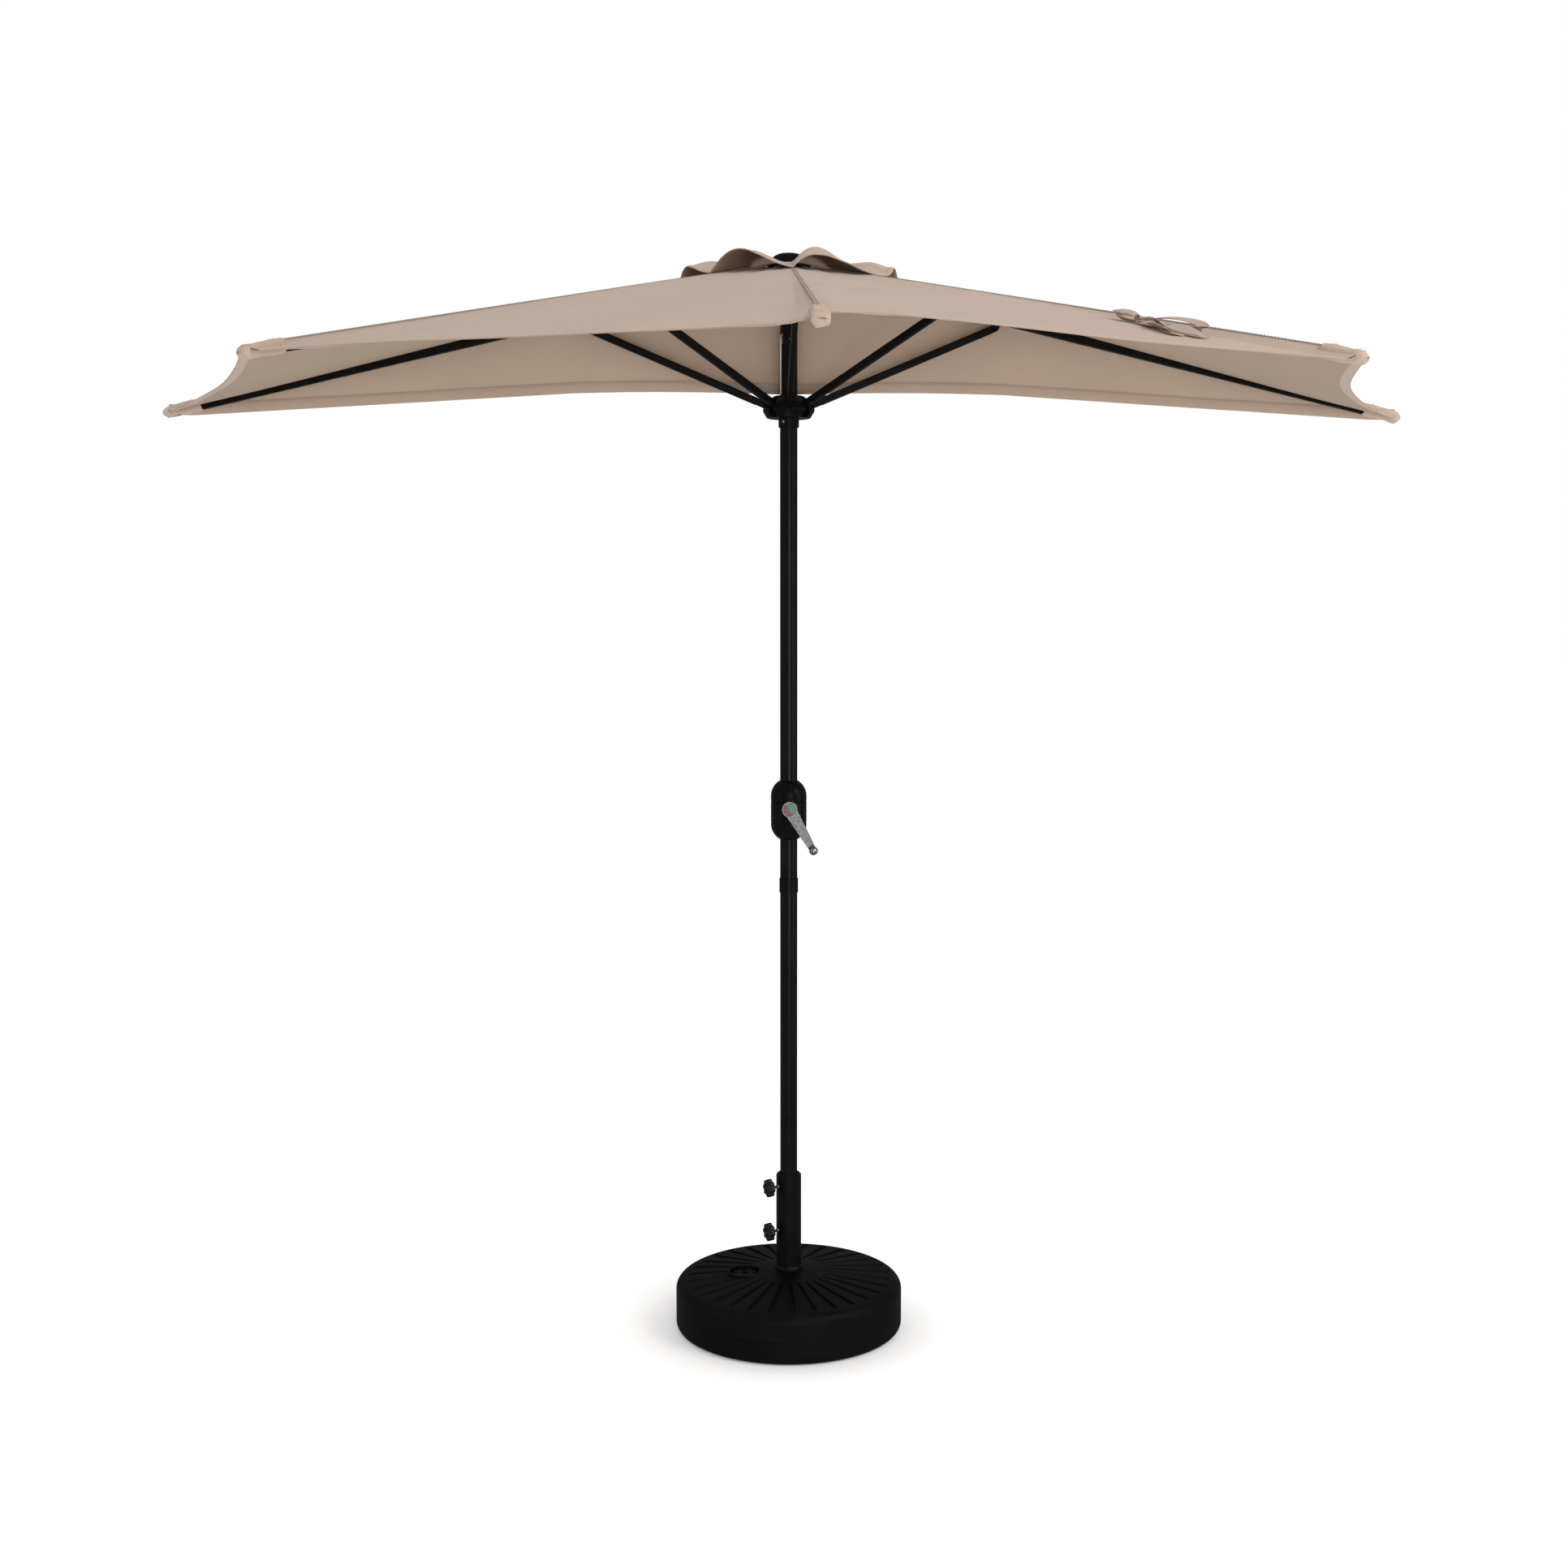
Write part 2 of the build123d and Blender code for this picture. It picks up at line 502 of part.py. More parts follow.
def housing_half(side, name):
    """One half of the capsule-shaped case; side is -1 for -X and 1 for +X."""
    inner = HOUSING_RADIUS - HOUSING_WALL
    bottom, top = (POLE_RADIUS, HOUSING_BOTTOM_Z), (POLE_RADIUS, HOUSING_TOP_Z)
    with BuildPart() as half:
        with BuildSketch(Plane.XZ):
            with BuildLine():
                RadiusArc(bottom, (HOUSING_RADIUS, bottom_equator), -HOUSING_RADIUS)
                Line((HOUSING_RADIUS, bottom_equator), (HOUSING_RADIUS, top_equator))
                RadiusArc((HOUSING_RADIUS, top_equator), top, -HOUSING_RADIUS)
                Line(top, bottom)
            make_face()
        revolve(axis=Axis.Z)
        with BuildSketch(Plane.XZ):
            with BuildLine():
                Polyline(
                    (0, HOUSING_BOTTOM_Z + 16),
                    (inner - 6, HOUSING_BOTTOM_Z + 16),
                    (inner, bottom_equator + 2),
                    (inner, top_equator - 2),
                    (inner - 6, HOUSING_TOP_Z - 16),
                    (0, HOUSING_TOP_Z - 16),
                    close=True,
                )
            make_face()
        revolve(axis=Axis.Z, mode=Mode.SUBTRACT)
        # bosses for the two joining screws
        for height in HOUSING_SCREW_HEIGHTS:
            with BuildSketch(housing_screw_plane(height).offset(-24)):
                Circle(4.5)
            extrude(amount=48)
        with BuildSketch(Plane.XY.offset(HOUSING_BOTTOM_Z)):
            Circle(POLE_RADIUS + 0.1)
        extrude(amount=HOUSING_TOP_Z - HOUSING_BOTTOM_Z, mode=Mode.SUBTRACT)
        for height in HOUSING_SCREW_HEIGHTS:
            axis = housing_screw_plane(height)
            with BuildSketch(axis.offset(-40)):
                Circle(4.2)
            extrude(amount=18, mode=Mode.SUBTRACT)
            with BuildSketch(axis.offset(-40)):
                Circle(2.1)
            extrude(amount=58, mode=Mode.SUBTRACT)
        # grooves round the case and a round hole for the shaft's bush
        with BuildSketch(Plane.XZ):
            with Locations(
                (HOUSING_RADIUS, top_equator - 1),
                (HOUSING_RADIUS, top_equator - 11),
                (HOUSING_RADIUS, bottom_equator + 3),
            ):
                Rectangle(1.8, 1.8, rotation=45)
        revolve(axis=Axis.Z, mode=Mode.SUBTRACT)
        with BuildSketch(Plane.XZ.offset(POLE_RADIUS + 5)):
            with Locations((0, CRANK_Z)):
                Circle(7.1)
        extrude(amount=HOUSING_RADIUS, mode=Mode.SUBTRACT)
        # flat seat for the bush's flange
        with BuildSketch(Plane.XZ.offset(HOUSING_RADIUS - 1.6)):
            with Locations((0, CRANK_Z)):
                Circle(21)
        extrude(amount=5, mode=Mode.SUBTRACT)
        # bevelled parting line
        with BuildSketch(Plane.XY.offset(HOUSING_BOTTOM_Z - 1)):
            with Locations((0, -HOUSING_RADIUS), (0, HOUSING_RADIUS)):
                Rectangle(1.6, 1.6, rotation=45)
        extrude(amount=HOUSING_TOP_Z - HOUSING_BOTTOM_Z + 2, mode=Mode.SUBTRACT)
        split(bisect_by=Plane.YZ.offset(0.15 * side), keep=Keep.TOP if side > 0 else Keep.BOTTOM)
    save(half, name)


housing_half(-1, "housing_left")
housing_half(1, "housing_right")

with BuildPart() as housing_screws:
    for height in HOUSING_SCREW_HEIGHTS:
        axis = housing_screw_plane(height)
        with BuildSketch(axis.offset(-24.5)):
            Circle(3.8)
        extrude(amount=2.3)
        with BuildSketch(axis.offset(-22.5)):
            Circle(2)
        extrude(amount=36)
save(housing_screws, "housing_screws")

# flanged bush that carries the crank shaft in the case's front wall
with BuildPart() as crank_bush:
    with BuildSketch(Plane.XZ.offset(HOUSING_RADIUS - 7)):
        with Locations((0, CRANK_Z)):
            Circle(6.8)
            Circle(SHAFT_RADIUS + CLOSE_FIT, mode=Mode.SUBTRACT)
    extrude(amount=7)
    with BuildSketch(Plane.XZ.offset(HOUSING_RADIUS - 1.5)):
        with Locations((0, CRANK_Z)):
            Circle(20)
            Circle(SHAFT_RADIUS + CLOSE_FIT, mode=Mode.SUBTRACT)
    extrude(amount=4)
    fillet(crank_bush.edges().group_by(Axis.Y)[0].sort_by(SortBy.RADIUS)[-1], 1.5)
save(crank_bush, "crank_bush")

# coil that grips the shaft and holds the load
with BuildPart() as brake_spring:
    with BuildLine() as coil:
        Helix(
            pitch=2.4,
            height=9.6,
            radius=SHAFT_RADIUS + 1.2,
            center=(0, -POLE_RADIUS - 11.6, CRANK_Z),
            direction=(0, 1, 0),
        )
    with BuildSketch(Plane(origin=coil.line @ 0, z_dir=coil.line % 0)):
        Circle(0.8)
    sweep(is_frenet=True)
save(brake_spring, "brake_spring")

with BuildPart() as crank_shaft:
    with BuildSketch(Plane.XZ.offset(-POLE_RADIUS - 3)):
        with Locations((0, CRANK_Z)):
            Circle(SHAFT_RADIUS)
    extrude(amount=POLE_RADIUS + 3 - CRANK_HUB_Y[1] - 4)
save(crank_shaft, "crank_shaft")

with BuildPart() as spool:
    with BuildSketch(Plane.XZ.offset(-SPOOL_HALF_WIDTH)):
        with Locations((0, CRANK_Z)):
            Circle(DRUM_RADIUS - 0.1)
    extrude(amount=2 * SPOOL_HALF_WIDTH)
    for start in (-SPOOL_HALF_WIDTH, SPOOL_HALF_WIDTH - SPOOL_FLANGE):
        with BuildSketch(Plane.XZ.offset(start)):
            with Locations((0, CRANK_Z)):
                Circle(SPOOL_FLANGE_RADIUS)
        extrude(amount=SPOOL_FLANGE)
    with BuildSketch(Plane.XZ.offset(-SPOOL_HALF_WIDTH)):
        with Locations((0, CRANK_Z)):
            Circle(SHAFT_RADIUS + 0.05)
    extrude(amount=2 * SPOOL_HALF_WIDTH, mode=Mode.SUBTRACT)
save(spool, "spool")

arm_lean = radians(CRANK_ANGLE)
arm_direction = Vector(sin(arm_lean), 0, -cos(arm_lean))
crank_face = Plane(origin=(0, CRANK_HUB_Y[1], CRANK_Z), x_dir=arm_direction, z_dir=(0, -1, 0))
crank_tip = Vector(0, 0, CRANK_Z) + arm_direction * CRANK_LENGTH

with BuildPart() as crank_arm:
    with BuildSketch(crank_face):
        Circle(CRANK_HUB_RADIUS)
    extrude(amount=CRANK_HUB_Y[1] - CRANK_HUB_Y[0])
    with BuildSketch(crank_face):
        with BuildLine():
            Polyline(
                (0, -CRANK_HUB_RADIUS + 2.5),
                (CRANK_LENGTH, -CRANK_TIP_RADIUS),
                (CRANK_LENGTH, CRANK_TIP_RADIUS),
                (0, CRANK_HUB_RADIUS - 2.5),
                close=True,
            )
        make_face()
        with Locations((CRANK_LENGTH, 0)):
            Circle(CRANK_TIP_RADIUS)
    extrude(amount=-CRANK_ARM_THICKNESS, taper=14)
    chamfer(crank_arm.faces().sort_by(Axis.Y)[0].edges().filter_by(GeomType.CIRCLE), 0.8)
    # shallow seat for the cover, and bores for the shaft and the grip's pin
    with BuildSketch(crank_face):
        Circle(13.6)
    extrude(amount=-1.2, mode=Mode.SUBTRACT)
    with BuildSketch(crank_face.offset(-4)):
        Circle(SHAFT_RADIUS + 0.05)
    extrude(amount=-20, mode=Mode.SUBTRACT)
    with BuildSketch(crank_face):
        with Locations((CRANK_LENGTH, 0)):
            Circle(GRIP_PIN_RADIUS + 0.05)
    extrude(amount=-CRANK_ARM_THICKNESS, mode=Mode.SUBTRACT)
save(crank_arm, "crank_arm")

with BuildPart() as crank_cover:
    with BuildSketch(crank_face.offset(-1.2)):
        Circle(13.4)
    extrude(amount=2.6)
    fillet(crank_cover.edges().group_by(Axis.Y)[0], 1.2)
save(crank_cover, "crank_cover")

grip_face = Plane((crank_tip.X, CRANK_HUB_Y[1], crank_tip.Z), z_dir=(0, -1, 0))

with BuildPart() as grip_pin:
    with BuildSketch(grip_face.offset(-CRANK_ARM_THICKNESS)):
        Circle(GRIP_PIN_RADIUS)
    extrude(amount=CRANK_ARM_THICKNESS + 15)
save(grip_pin, "grip_pin")

with BuildPart() as crank_grip:
    with BuildSketch(Plane((0, 0, 0), x_dir=(0, -1, 0), z_dir=(1, 0, 0)).offset(crank_tip.X)):
        with BuildLine():
            neck, ball, centre = 4.5, GRIP_BALL_RADIUS, -GRIP_BALL_Y
            reach = sqrt(ball**2 - neck**2)
            ThreePointArc(
                (centre - reach, -neck - crank_tip.Z),
                (centre, -ball - crank_tip.Z),
                (centre + ball, -crank_tip.Z),
            )
            Polyline(
                (centre + ball, -crank_tip.Z),
                (-CRANK_HUB_Y[1] + 0.4, -crank_tip.Z),
                (-CRANK_HUB_Y[1] + 0.4, -neck - crank_tip.Z),
                (centre - reach, -neck - crank_tip.Z),
            )
        make_face()
    revolve(axis=Axis(crank_tip, (0, -1, 0)))
    with BuildSketch(grip_face):
        Circle(GRIP_PIN_RADIUS + CLOSE_FIT)
    extrude(amount=15.5, mode=Mode.SUBTRACT)
save(crank_grip, "crank_grip")


# ==== hub, runner and cord ========================================================================

with BuildPart() as upper_hub:
    with BuildSketch(Plane.XZ):
        with BuildLine():
            Polyline(
                (STUD_RADIUS + CLOSE_FIT, HUB_BOTTOM_Z),
                (HUB_OUTER_RADIUS, HUB_BOTTOM_Z),
                (HUB_OUTER_RADIUS, HUB_TOP_Z - 4),
                (HUB_OUTER_RADIUS - 9, HUB_TOP_Z),
                (STUD_RADIUS + CLOSE_FIT, HUB_TOP_Z),
                close=True,
            )
        make_face()
    revolve(axis=Axis.Z)
    with BuildSketch(Plane.XY.offset(HUB_BOTTOM_Z)):
        Circle(POLE_RADIUS + 0.1)
    extrude(amount=POLE_TOP_Z + 0.2 - HUB_BOTTOM_Z, mode=Mode.SUBTRACT)
    for azimuth in RIB_AZIMUTHS:
        upright = radial_plane(azimuth)
        with BuildSketch(upright.offset(-HUB_SLOT_WIDTH / 2)):
            with Locations((PIVOT_RADIUS + 12, RIB_PIVOT_Z)):
                Rectangle(41, 40)
        extrude(amount=HUB_SLOT_WIDTH, mode=Mode.SUBTRACT)
        with BuildSketch(upright.offset(-PIN_HALF_LENGTH - 0.2)):
            with Locations((PIVOT_RADIUS, RIB_PIVOT_Z)):
                Circle(PIVOT_PIN_RADIUS + 0.05)
        extrude(amount=2 * PIN_HALF_LENGTH + 0.4, mode=Mode.SUBTRACT)
    with BuildSketch(Plane.XY.offset(HUB_BOTTOM_Z)):
        with Locations((0, HUB_BACK_Y + 50)):
            Rectangle(200, 100)
    extrude(amount=HUB_TOP_Z, mode=Mode.SUBTRACT)
save(upper_hub, "upper_hub")

with BuildPart() as hub_pins:
    for azimuth in RIB_AZIMUTHS:
        with BuildSketch(radial_plane(azimuth).offset(-PIN_HALF_LENGTH)):
            with Locations((PIVOT_RADIUS, RIB_PIVOT_Z)):
                Circle(PIVOT_PIN_RADIUS)
        extrude(amount=2 * PIN_HALF_LENGTH)
save(hub_pins, "hub_pins")

# cap nut with its stud, which clamps the middle of the canopy on the hub
with BuildPart() as finial:
    with BuildSketch(Plane.XZ):
        with BuildLine():
            Line((0, FINIAL_BRIM_Z), (FINIAL_RADIUS, FINIAL_BRIM_Z))
            Line((FINIAL_RADIUS, FINIAL_BRIM_Z), (FINIAL_RADIUS, FINIAL_BRIM_Z + 4))
            ThreePointArc(
                (FINIAL_RADIUS, FINIAL_BRIM_Z + 4),
                (FINIAL_RADIUS * 0.72, FINIAL_TOP_Z - 5),
                (8, FINIAL_TOP_Z),
            )
            Line((8, FINIAL_TOP_Z), (0, FINIAL_TOP_Z))
            Line((0, FINIAL_TOP_Z), (0, FINIAL_BRIM_Z))
        make_face()
    revolve(axis=Axis.Z)
    with BuildSketch(Plane.XY.offset(POLE_TOP_Z + 1)):
        Circle(STUD_RADIUS)
    extrude(amount=FINIAL_BRIM_Z - POLE_TOP_Z)
save(finial, "finial")

with BuildPart() as cord_pulley:
    with BuildSketch(pulley_axis.offset(-PULLEY_HALF_WIDTH)):
        Circle(PULLEY_FLANGE_RADIUS)
    extrude(amount=1)
    with BuildSketch(pulley_axis.offset(-PULLEY_HALF_WIDTH)):
        Circle(PULLEY_GROOVE_RADIUS - 0.1)
    extrude(amount=2 * PULLEY_HALF_WIDTH)
    with BuildSketch(pulley_axis.offset(PULLEY_HALF_WIDTH - 1)):
        Circle(PULLEY_FLANGE_RADIUS)
    extrude(amount=1)
    with BuildSketch(pulley_axis.offset(-PULLEY_HALF_WIDTH)):
        Circle(PULLEY_PIN_RADIUS + CLOSE_FIT)
    extrude(amount=2 * PULLEY_HALF_WIDTH, mode=Mode.SUBTRACT)
save(cord_pulley, "cord_pulley")

with BuildPart() as pulley_pin:
    with BuildSketch(pulley_axis.offset(-15)):
        Circle(PULLEY_PIN_RADIUS)
    extrude(amount=30)
save(pulley_pin, "pulley_pin")

# inner run of the lift cord: from the spool up the pole and over the pulley
spool_side = DRUM_RADIUS + CORD_RADIUS
cord_start = (spool_side / sin(radians(-CORD_AZIMUTH)), CRANK_Z)
reach_radius, reach_z = PULLEY_GROOVE_RADIUS - cord_start[0], PULLEY_Z - CRANK_Z
span = hypot(reach_radius, reach_z)
straight = sqrt(span**2 - cord_line**2)
lean = atan2(reach_z, reach_radius) + asin(cord_line / span)
cord_meets = (cord_start[0] + straight * cos(lean), cord_start[1] + straight * sin(lean))
meet_angle = degrees(atan2(cord_meets[1] - PULLEY_Z, cord_meets[0] - PULLEY_GROOVE_RADIUS)) % 360

with BuildPart() as lift_cord_inner:
    with BuildLine(pulley_plane) as cord_route:
        Line(cord_start, cord_meets)
        CenterArc((PULLEY_GROOVE_RADIUS, PULLEY_Z), cord_line, meet_angle, -meet_angle)
    with BuildSketch(Plane(origin=cord_route.line @ 0, z_dir=cord_route.line % 0)):
        Circle(CORD_RADIUS - 0.1)
    sweep()
save(lift_cord_inner, "lift_cord_inner")

# outer run of the lift cord, from the pulley down to its knot in the runner
with BuildPart() as lift_cord_outer:
    with BuildSketch(Plane.XY.offset(CORD_END_Z)):
        with Locations(outward(CORD_AZIMUTH) * cord_outer_radius):
            Circle(CORD_RADIUS - 0.1)
    extrude(amount=PULLEY_Z - 0.2 - CORD_END_Z)
save(lift_cord_outer, "lift_cord_outer")

runner_bore = POLE_RADIUS + LOOSE_FIT
screw_face = Plane((0, 0, RUNNER_SCREW_Z), z_dir=outward(RUNNER_SCREW_AZIMUTH))

with BuildPart() as runner:
    with BuildSketch(Plane.XZ):
        with BuildLine():
            FilletPolyline(
                (runner_bore, RUNNER_COLLAR_Z),
                (RUNNER_COLLAR_RADIUS, RUNNER_COLLAR_Z),
                (RUNNER_COLLAR_RADIUS, RUNNER_BOTTOM_Z),
                (RUNNER_RADIUS - 9, RUNNER_BOTTOM_Z),
                (RUNNER_RADIUS, RUNNER_BOTTOM_Z + 16),
                (RUNNER_RADIUS - 4, RUNNER_BOTTOM_Z + 30),
                (33, RUNNER_TOP_Z),
                (runner_bore, RUNNER_TOP_Z),
                radius=(1.5, 2, 6, 9, 12, 8),
            )
            Line((runner_bore, RUNNER_TOP_Z), (runner_bore, RUNNER_COLLAR_Z))
        make_face()
    revolve(axis=Axis.Z)
    for azimuth in RIB_AZIMUTHS:
        upright = radial_plane(azimuth)
        with BuildSketch(upright.offset(-RUNNER_SLOT_WIDTH / 2)):
            with Locations((PIVOT_RADIUS + 12, RUNNER_PIVOT_Z)):
                Rectangle(41.5, 60)
        extrude(amount=RUNNER_SLOT_WIDTH, mode=Mode.SUBTRACT)
        # open-bottomed seats for the ends of the pivot pin, flared where the pin leaves them
        with BuildSketch(upright.offset(-PIN_HALF_LENGTH - 0.5)):
            with BuildLine():
                Polyline(
                    (PIVOT_RADIUS - 2.9, RUNNER_PIVOT_Z + 2.9),
                    (PIVOT_RADIUS + 2.9, RUNNER_PIVOT_Z + 2.9),
                    (PIVOT_RADIUS + 13, RUNNER_BOTTOM_Z - 1),
                    (PIVOT_RADIUS - 4, RUNNER_BOTTOM_Z - 1),
                    close=True,
                )
            make_face()
        extrude(amount=2 * PIN_HALF_LENGTH + 1, mode=Mode.SUBTRACT)
    # bore for the cord's end
    with BuildSketch(Plane.XY.offset(CORD_END_Z - 0.5)):
        with Locations(outward(CORD_AZIMUTH) * cord_outer_radius):
            Circle(CORD_RADIUS + 0.3)
    extrude(amount=60, mode=Mode.SUBTRACT)
    # boss for the set screw, and its bore
    with BuildSketch(screw_face):
        Circle(5)
    extrude(amount=RUNNER_COLLAR_RADIUS + 2)
    with BuildSketch(screw_face):
        Circle(3)
    extrude(amount=RUNNER_COLLAR_RADIUS + 5, mode=Mode.SUBTRACT)
    with BuildSketch(Plane.XY.offset(RUNNER_COLLAR_Z)):
        Circle(POLE_RADIUS + LOOSE_FIT)
    extrude(amount=RUNNER_TOP_Z - RUNNER_COLLAR_Z, mode=Mode.SUBTRACT)
save(runner, "runner")

with BuildPart() as runner_screw:
    with BuildSketch(screw_face.offset(POLE_RADIUS + 0.8)):
        Circle(2.9)
    extrude(amount=4)
save(runner_screw, "runner_screw")


# ==== ribs, struts and canopy =====================================================================


def hollow_bar(plane, start, end, depth, width):
    """Rectangular tube along the plane's x, centred on it."""
    section = Plane(origin=plane.origin + plane.x_dir * start, x_dir=plane.y_dir, z_dir=plane.x_dir)
    with BuildPart() as bar:
        with BuildSketch(section):
            RectangleRounded(depth, width, 2.5)
            RectangleRounded(depth - 2 * TUBE_WALL, width - 2 * TUBE_WALL, 1.3, mode=Mode.SUBTRACT)
        extrude(amount=end - start)
    return bar.part


def tongue(plane, width, inner, outer, depth):
    """Flat end piece along the plane's x, rounded about the plane's origin."""
    with BuildPart() as piece:
        with BuildSketch(plane.offset(-width / 2)):
            Circle(depth / 2)
            with Locations(((inner + outer) / 2, 0)):
                Rectangle(outer - inner, depth)
        extrude(amount=width)
    return piece.part


def build_rib(number, azimuth):
    line = member_plane(azimuth, PIVOT_RADIUS, RIB_PIVOT_Z, RIB_SLOPE)
    length = (RIB_END_RADIUS - PIVOT_RADIUS) / cos(radians(RIB_SLOPE))
    tube = hollow_bar(line, 17, length, RIB_DEPTH, RIB_WIDTH)
    hub_tongue = tongue(line, TONGUE_WIDTH, 0, 17, 14)
    with BuildPart() as rib:
        add(tube)
    save(rib, f"rib_{number}")
    with BuildPart() as fittings:
        # hub tongue with its plug inside the tube
        add(hub_tongue)
        with BuildSketch(Plane(line.origin + line.x_dir * 17, x_dir=line.y_dir, z_dir=line.x_dir)):
            Rectangle(RIB_DEPTH - 2 * TUBE_WALL - 1.4, RIB_WIDTH - 2 * TUBE_WALL - 1.4)
        extrude(amount=22)
        with BuildSketch(line.offset(-TONGUE_WIDTH / 2)):
            Circle(PIVOT_PIN_RADIUS + CLOSE_FIT)
        extrude(amount=TONGUE_WIDTH, mode=Mode.SUBTRACT)
        # two bracket cheeks that carry the strut
        for side in (-1, 1):
            inner_face = RIB_WIDTH / 2 + 0.05 if side > 0 else -RIB_WIDTH / 2 - 2.05
            with BuildSketch(line.offset(inner_face)):
                with BuildLine():
                    Polyline(
                        (BRACKET_ALONG - 17, 5),
                        (BRACKET_ALONG + 17, 5),
                        (BRACKET_ALONG + 7, -BRACKET_DROP),
                        (BRACKET_ALONG - 7, -BRACKET_DROP),
                        close=True,
                    )
                make_face()
                with Locations((BRACKET_ALONG, -BRACKET_DROP)):
                    Circle(7)
                    Circle(PIVOT_PIN_RADIUS, mode=Mode.SUBTRACT)
            extrude(amount=2)
        # pin across the cheeks
        with BuildSketch(line.offset(-RIB_WIDTH / 2 - 3)):
            with Locations((BRACKET_ALONG, -BRACKET_DROP)):
                Circle(PIVOT_PIN_RADIUS)
        extrude(amount=RIB_WIDTH + 6)
        # plastic tip
        end = line.origin + line.x_dir * (length + 0.1)
        with BuildSketch(Plane(end, x_dir=line.y_dir, z_dir=line.x_dir)):
            RectangleRounded(RIB_DEPTH, RIB_WIDTH, 3)
        extrude(amount=7, taper=20)
    save(fittings, f"rib_fittings_{number}")


def build_strut(number, azimuth):
    pivot = Vector(0, 0, open_z) + outward(azimuth) * open_radius
    # the strut runs inward and down from the rib, so its x points back to the pole
    fall = radians(STRUT_SLOPE)
    along = outward(azimuth) * -cos(fall) + Vector(0, 0, -sin(fall))
    line = Plane(origin=pivot, x_dir=along, z_dir=sideways(azimuth))
    foot = Plane(origin=pivot + along * STRUT_LENGTH, x_dir=-along, z_dir=-sideways(azimuth))
    tube = hollow_bar(line, 10, STRUT_LENGTH - 27, STRUT_DEPTH, STRUT_WIDTH)
    rib_end = tongue(line, STRUT_WIDTH, 0, 12, STRUT_DEPTH - 1)
    runner_end = tongue(foot, STRUT_WIDTH, 0, 29, STRUT_DEPTH - 2)
    with BuildPart() as strut:
        add(tube)
        add(rib_end)
        add(runner_end)
        with BuildSketch(line.offset(-STRUT_WIDTH / 2)):
            Circle(PIVOT_PIN_RADIUS + CLOSE_FIT)
        extrude(amount=STRUT_WIDTH, mode=Mode.SUBTRACT)
        # the pin that sits in the runner, riveted in the strut's end
        with BuildSketch(foot.offset(-PIN_HALF_LENGTH)):
            Circle(PIVOT_PIN_RADIUS)
        extrude(amount=2 * PIN_HALF_LENGTH)
    save(strut, f"strut_{number}")


def gore_plane(middle_azimuth, apex_z, fall):
    """Plane of one flat gore; x runs down its middle line and y is level."""
    level = outward(middle_azimuth)
    return Plane(
        origin=(0, 0, apex_z),
        x_dir=level - Vector(0, 0, fall),
        z_dir=Vector(0, 0, 1) + level * fall,
    )


def gore_facet(rib_azimuth, side, apex_z, slope, inner, outer_rib, outer_middle):
    """Half a gore, from the rib to the gore's middle."""
    fall = slope / cos(radians(GORE_HALF_ANGLE))
    steepness = sqrt(1 + fall**2)
    plane = gore_plane(rib_azimuth + side * GORE_HALF_ANGLE, apex_z, fall)

    def point(radius, off_middle):
        turn = radians(off_middle)
        return radius * cos(turn) * steepness, -side * radius * sin(turn)

    near_middle = GORE_HALF_ANGLE - SHARE_HALF_ANGLE
    bulge = (outer_rib + outer_middle) / 2 * 0.975
    with BuildPart() as facet:
        with BuildSketch(plane):
            with BuildLine():
                Polyline(
                    point(inner, GORE_HALF_ANGLE),
                    point(outer_rib, GORE_HALF_ANGLE),
                    point(bulge, GORE_HALF_ANGLE / 2),
                    point(outer_middle, near_middle),
                    point(inner, near_middle),
                    close=True,
                )
            make_face()
        extrude(amount=-FABRIC)
    return facet.part


def build_canopy_share(number, azimuth):
    sides = [side for side in (-1, 1) if abs(azimuth + side * GORE_HALF_ANGLE) < 90]
    slope = tan(radians(RIB_SLOPE))
    vent_slope = (VENT_INNER_Z - VENT_OUTER_Z) / (VENT_OUTER_RADIUS - VENT_INNER_RADIUS)
    vent_apex = VENT_INNER_Z + VENT_INNER_RADIUS * vent_slope
    vent_radii = (VENT_INNER_RADIUS, VENT_OUTER_RADIUS, VENT_OUTER_RADIUS)
    main_radii = (VENT_HOLE_RADIUS, TIP_RADIUS, HEM_MIDDLE_RADIUS)
    facets = [gore_facet(azimuth, side, ridge_z(0), slope, *main_radii) for side in sides]
    facets += [gore_facet(azimuth, side, vent_apex, vent_slope, *vent_radii) for side in sides]
    with BuildPart() as canopy:
        add(facets)
    save(canopy, f"canopy_{number}")


def build_back_flap(side, name):
    tip = Vector(side * TIP_RADIUS, FLAP_TIP_Y, 0)
    middle = Vector(0, FLAP_MIDDLE_Y, 0)
    normal = Vector(0, 0, 1).cross(tip - middle) * -1
    plane = Plane(origin=middle, x_dir=tip - middle, z_dir=normal)
    length = (tip - middle).length
    up = 1 if plane.y_dir.Z > 0 else -1
    with BuildPart() as flap:
        with BuildSketch(plane):
            with BuildLine():
                Polyline(
                    (1, up * (ridge_z(0) - 14)),
                    (length, up * (ridge_z(TIP_RADIUS) - 2)),
                    (length, up * (ridge_z(TIP_RADIUS) - 16)),
                    (length - 140, up * (ridge_z(TIP_RADIUS) - 12)),
                    (FLAP_HEM_HALF_FLAT, up * FLAP_HEM_Z),
                    (1, up * FLAP_HEM_Z),
                    close=True,
                )
            make_face()
        extrude(amount=FABRIC)
    save(flap, name)


for number, azimuth in enumerate(RIB_AZIMUTHS, start=1):
    build_rib(number, azimuth)
    build_strut(number, azimuth)
    build_canopy_share(number, azimuth)
build_back_flap(-1, "back_flap_left")
build_back_flap(1, "back_flap_right")

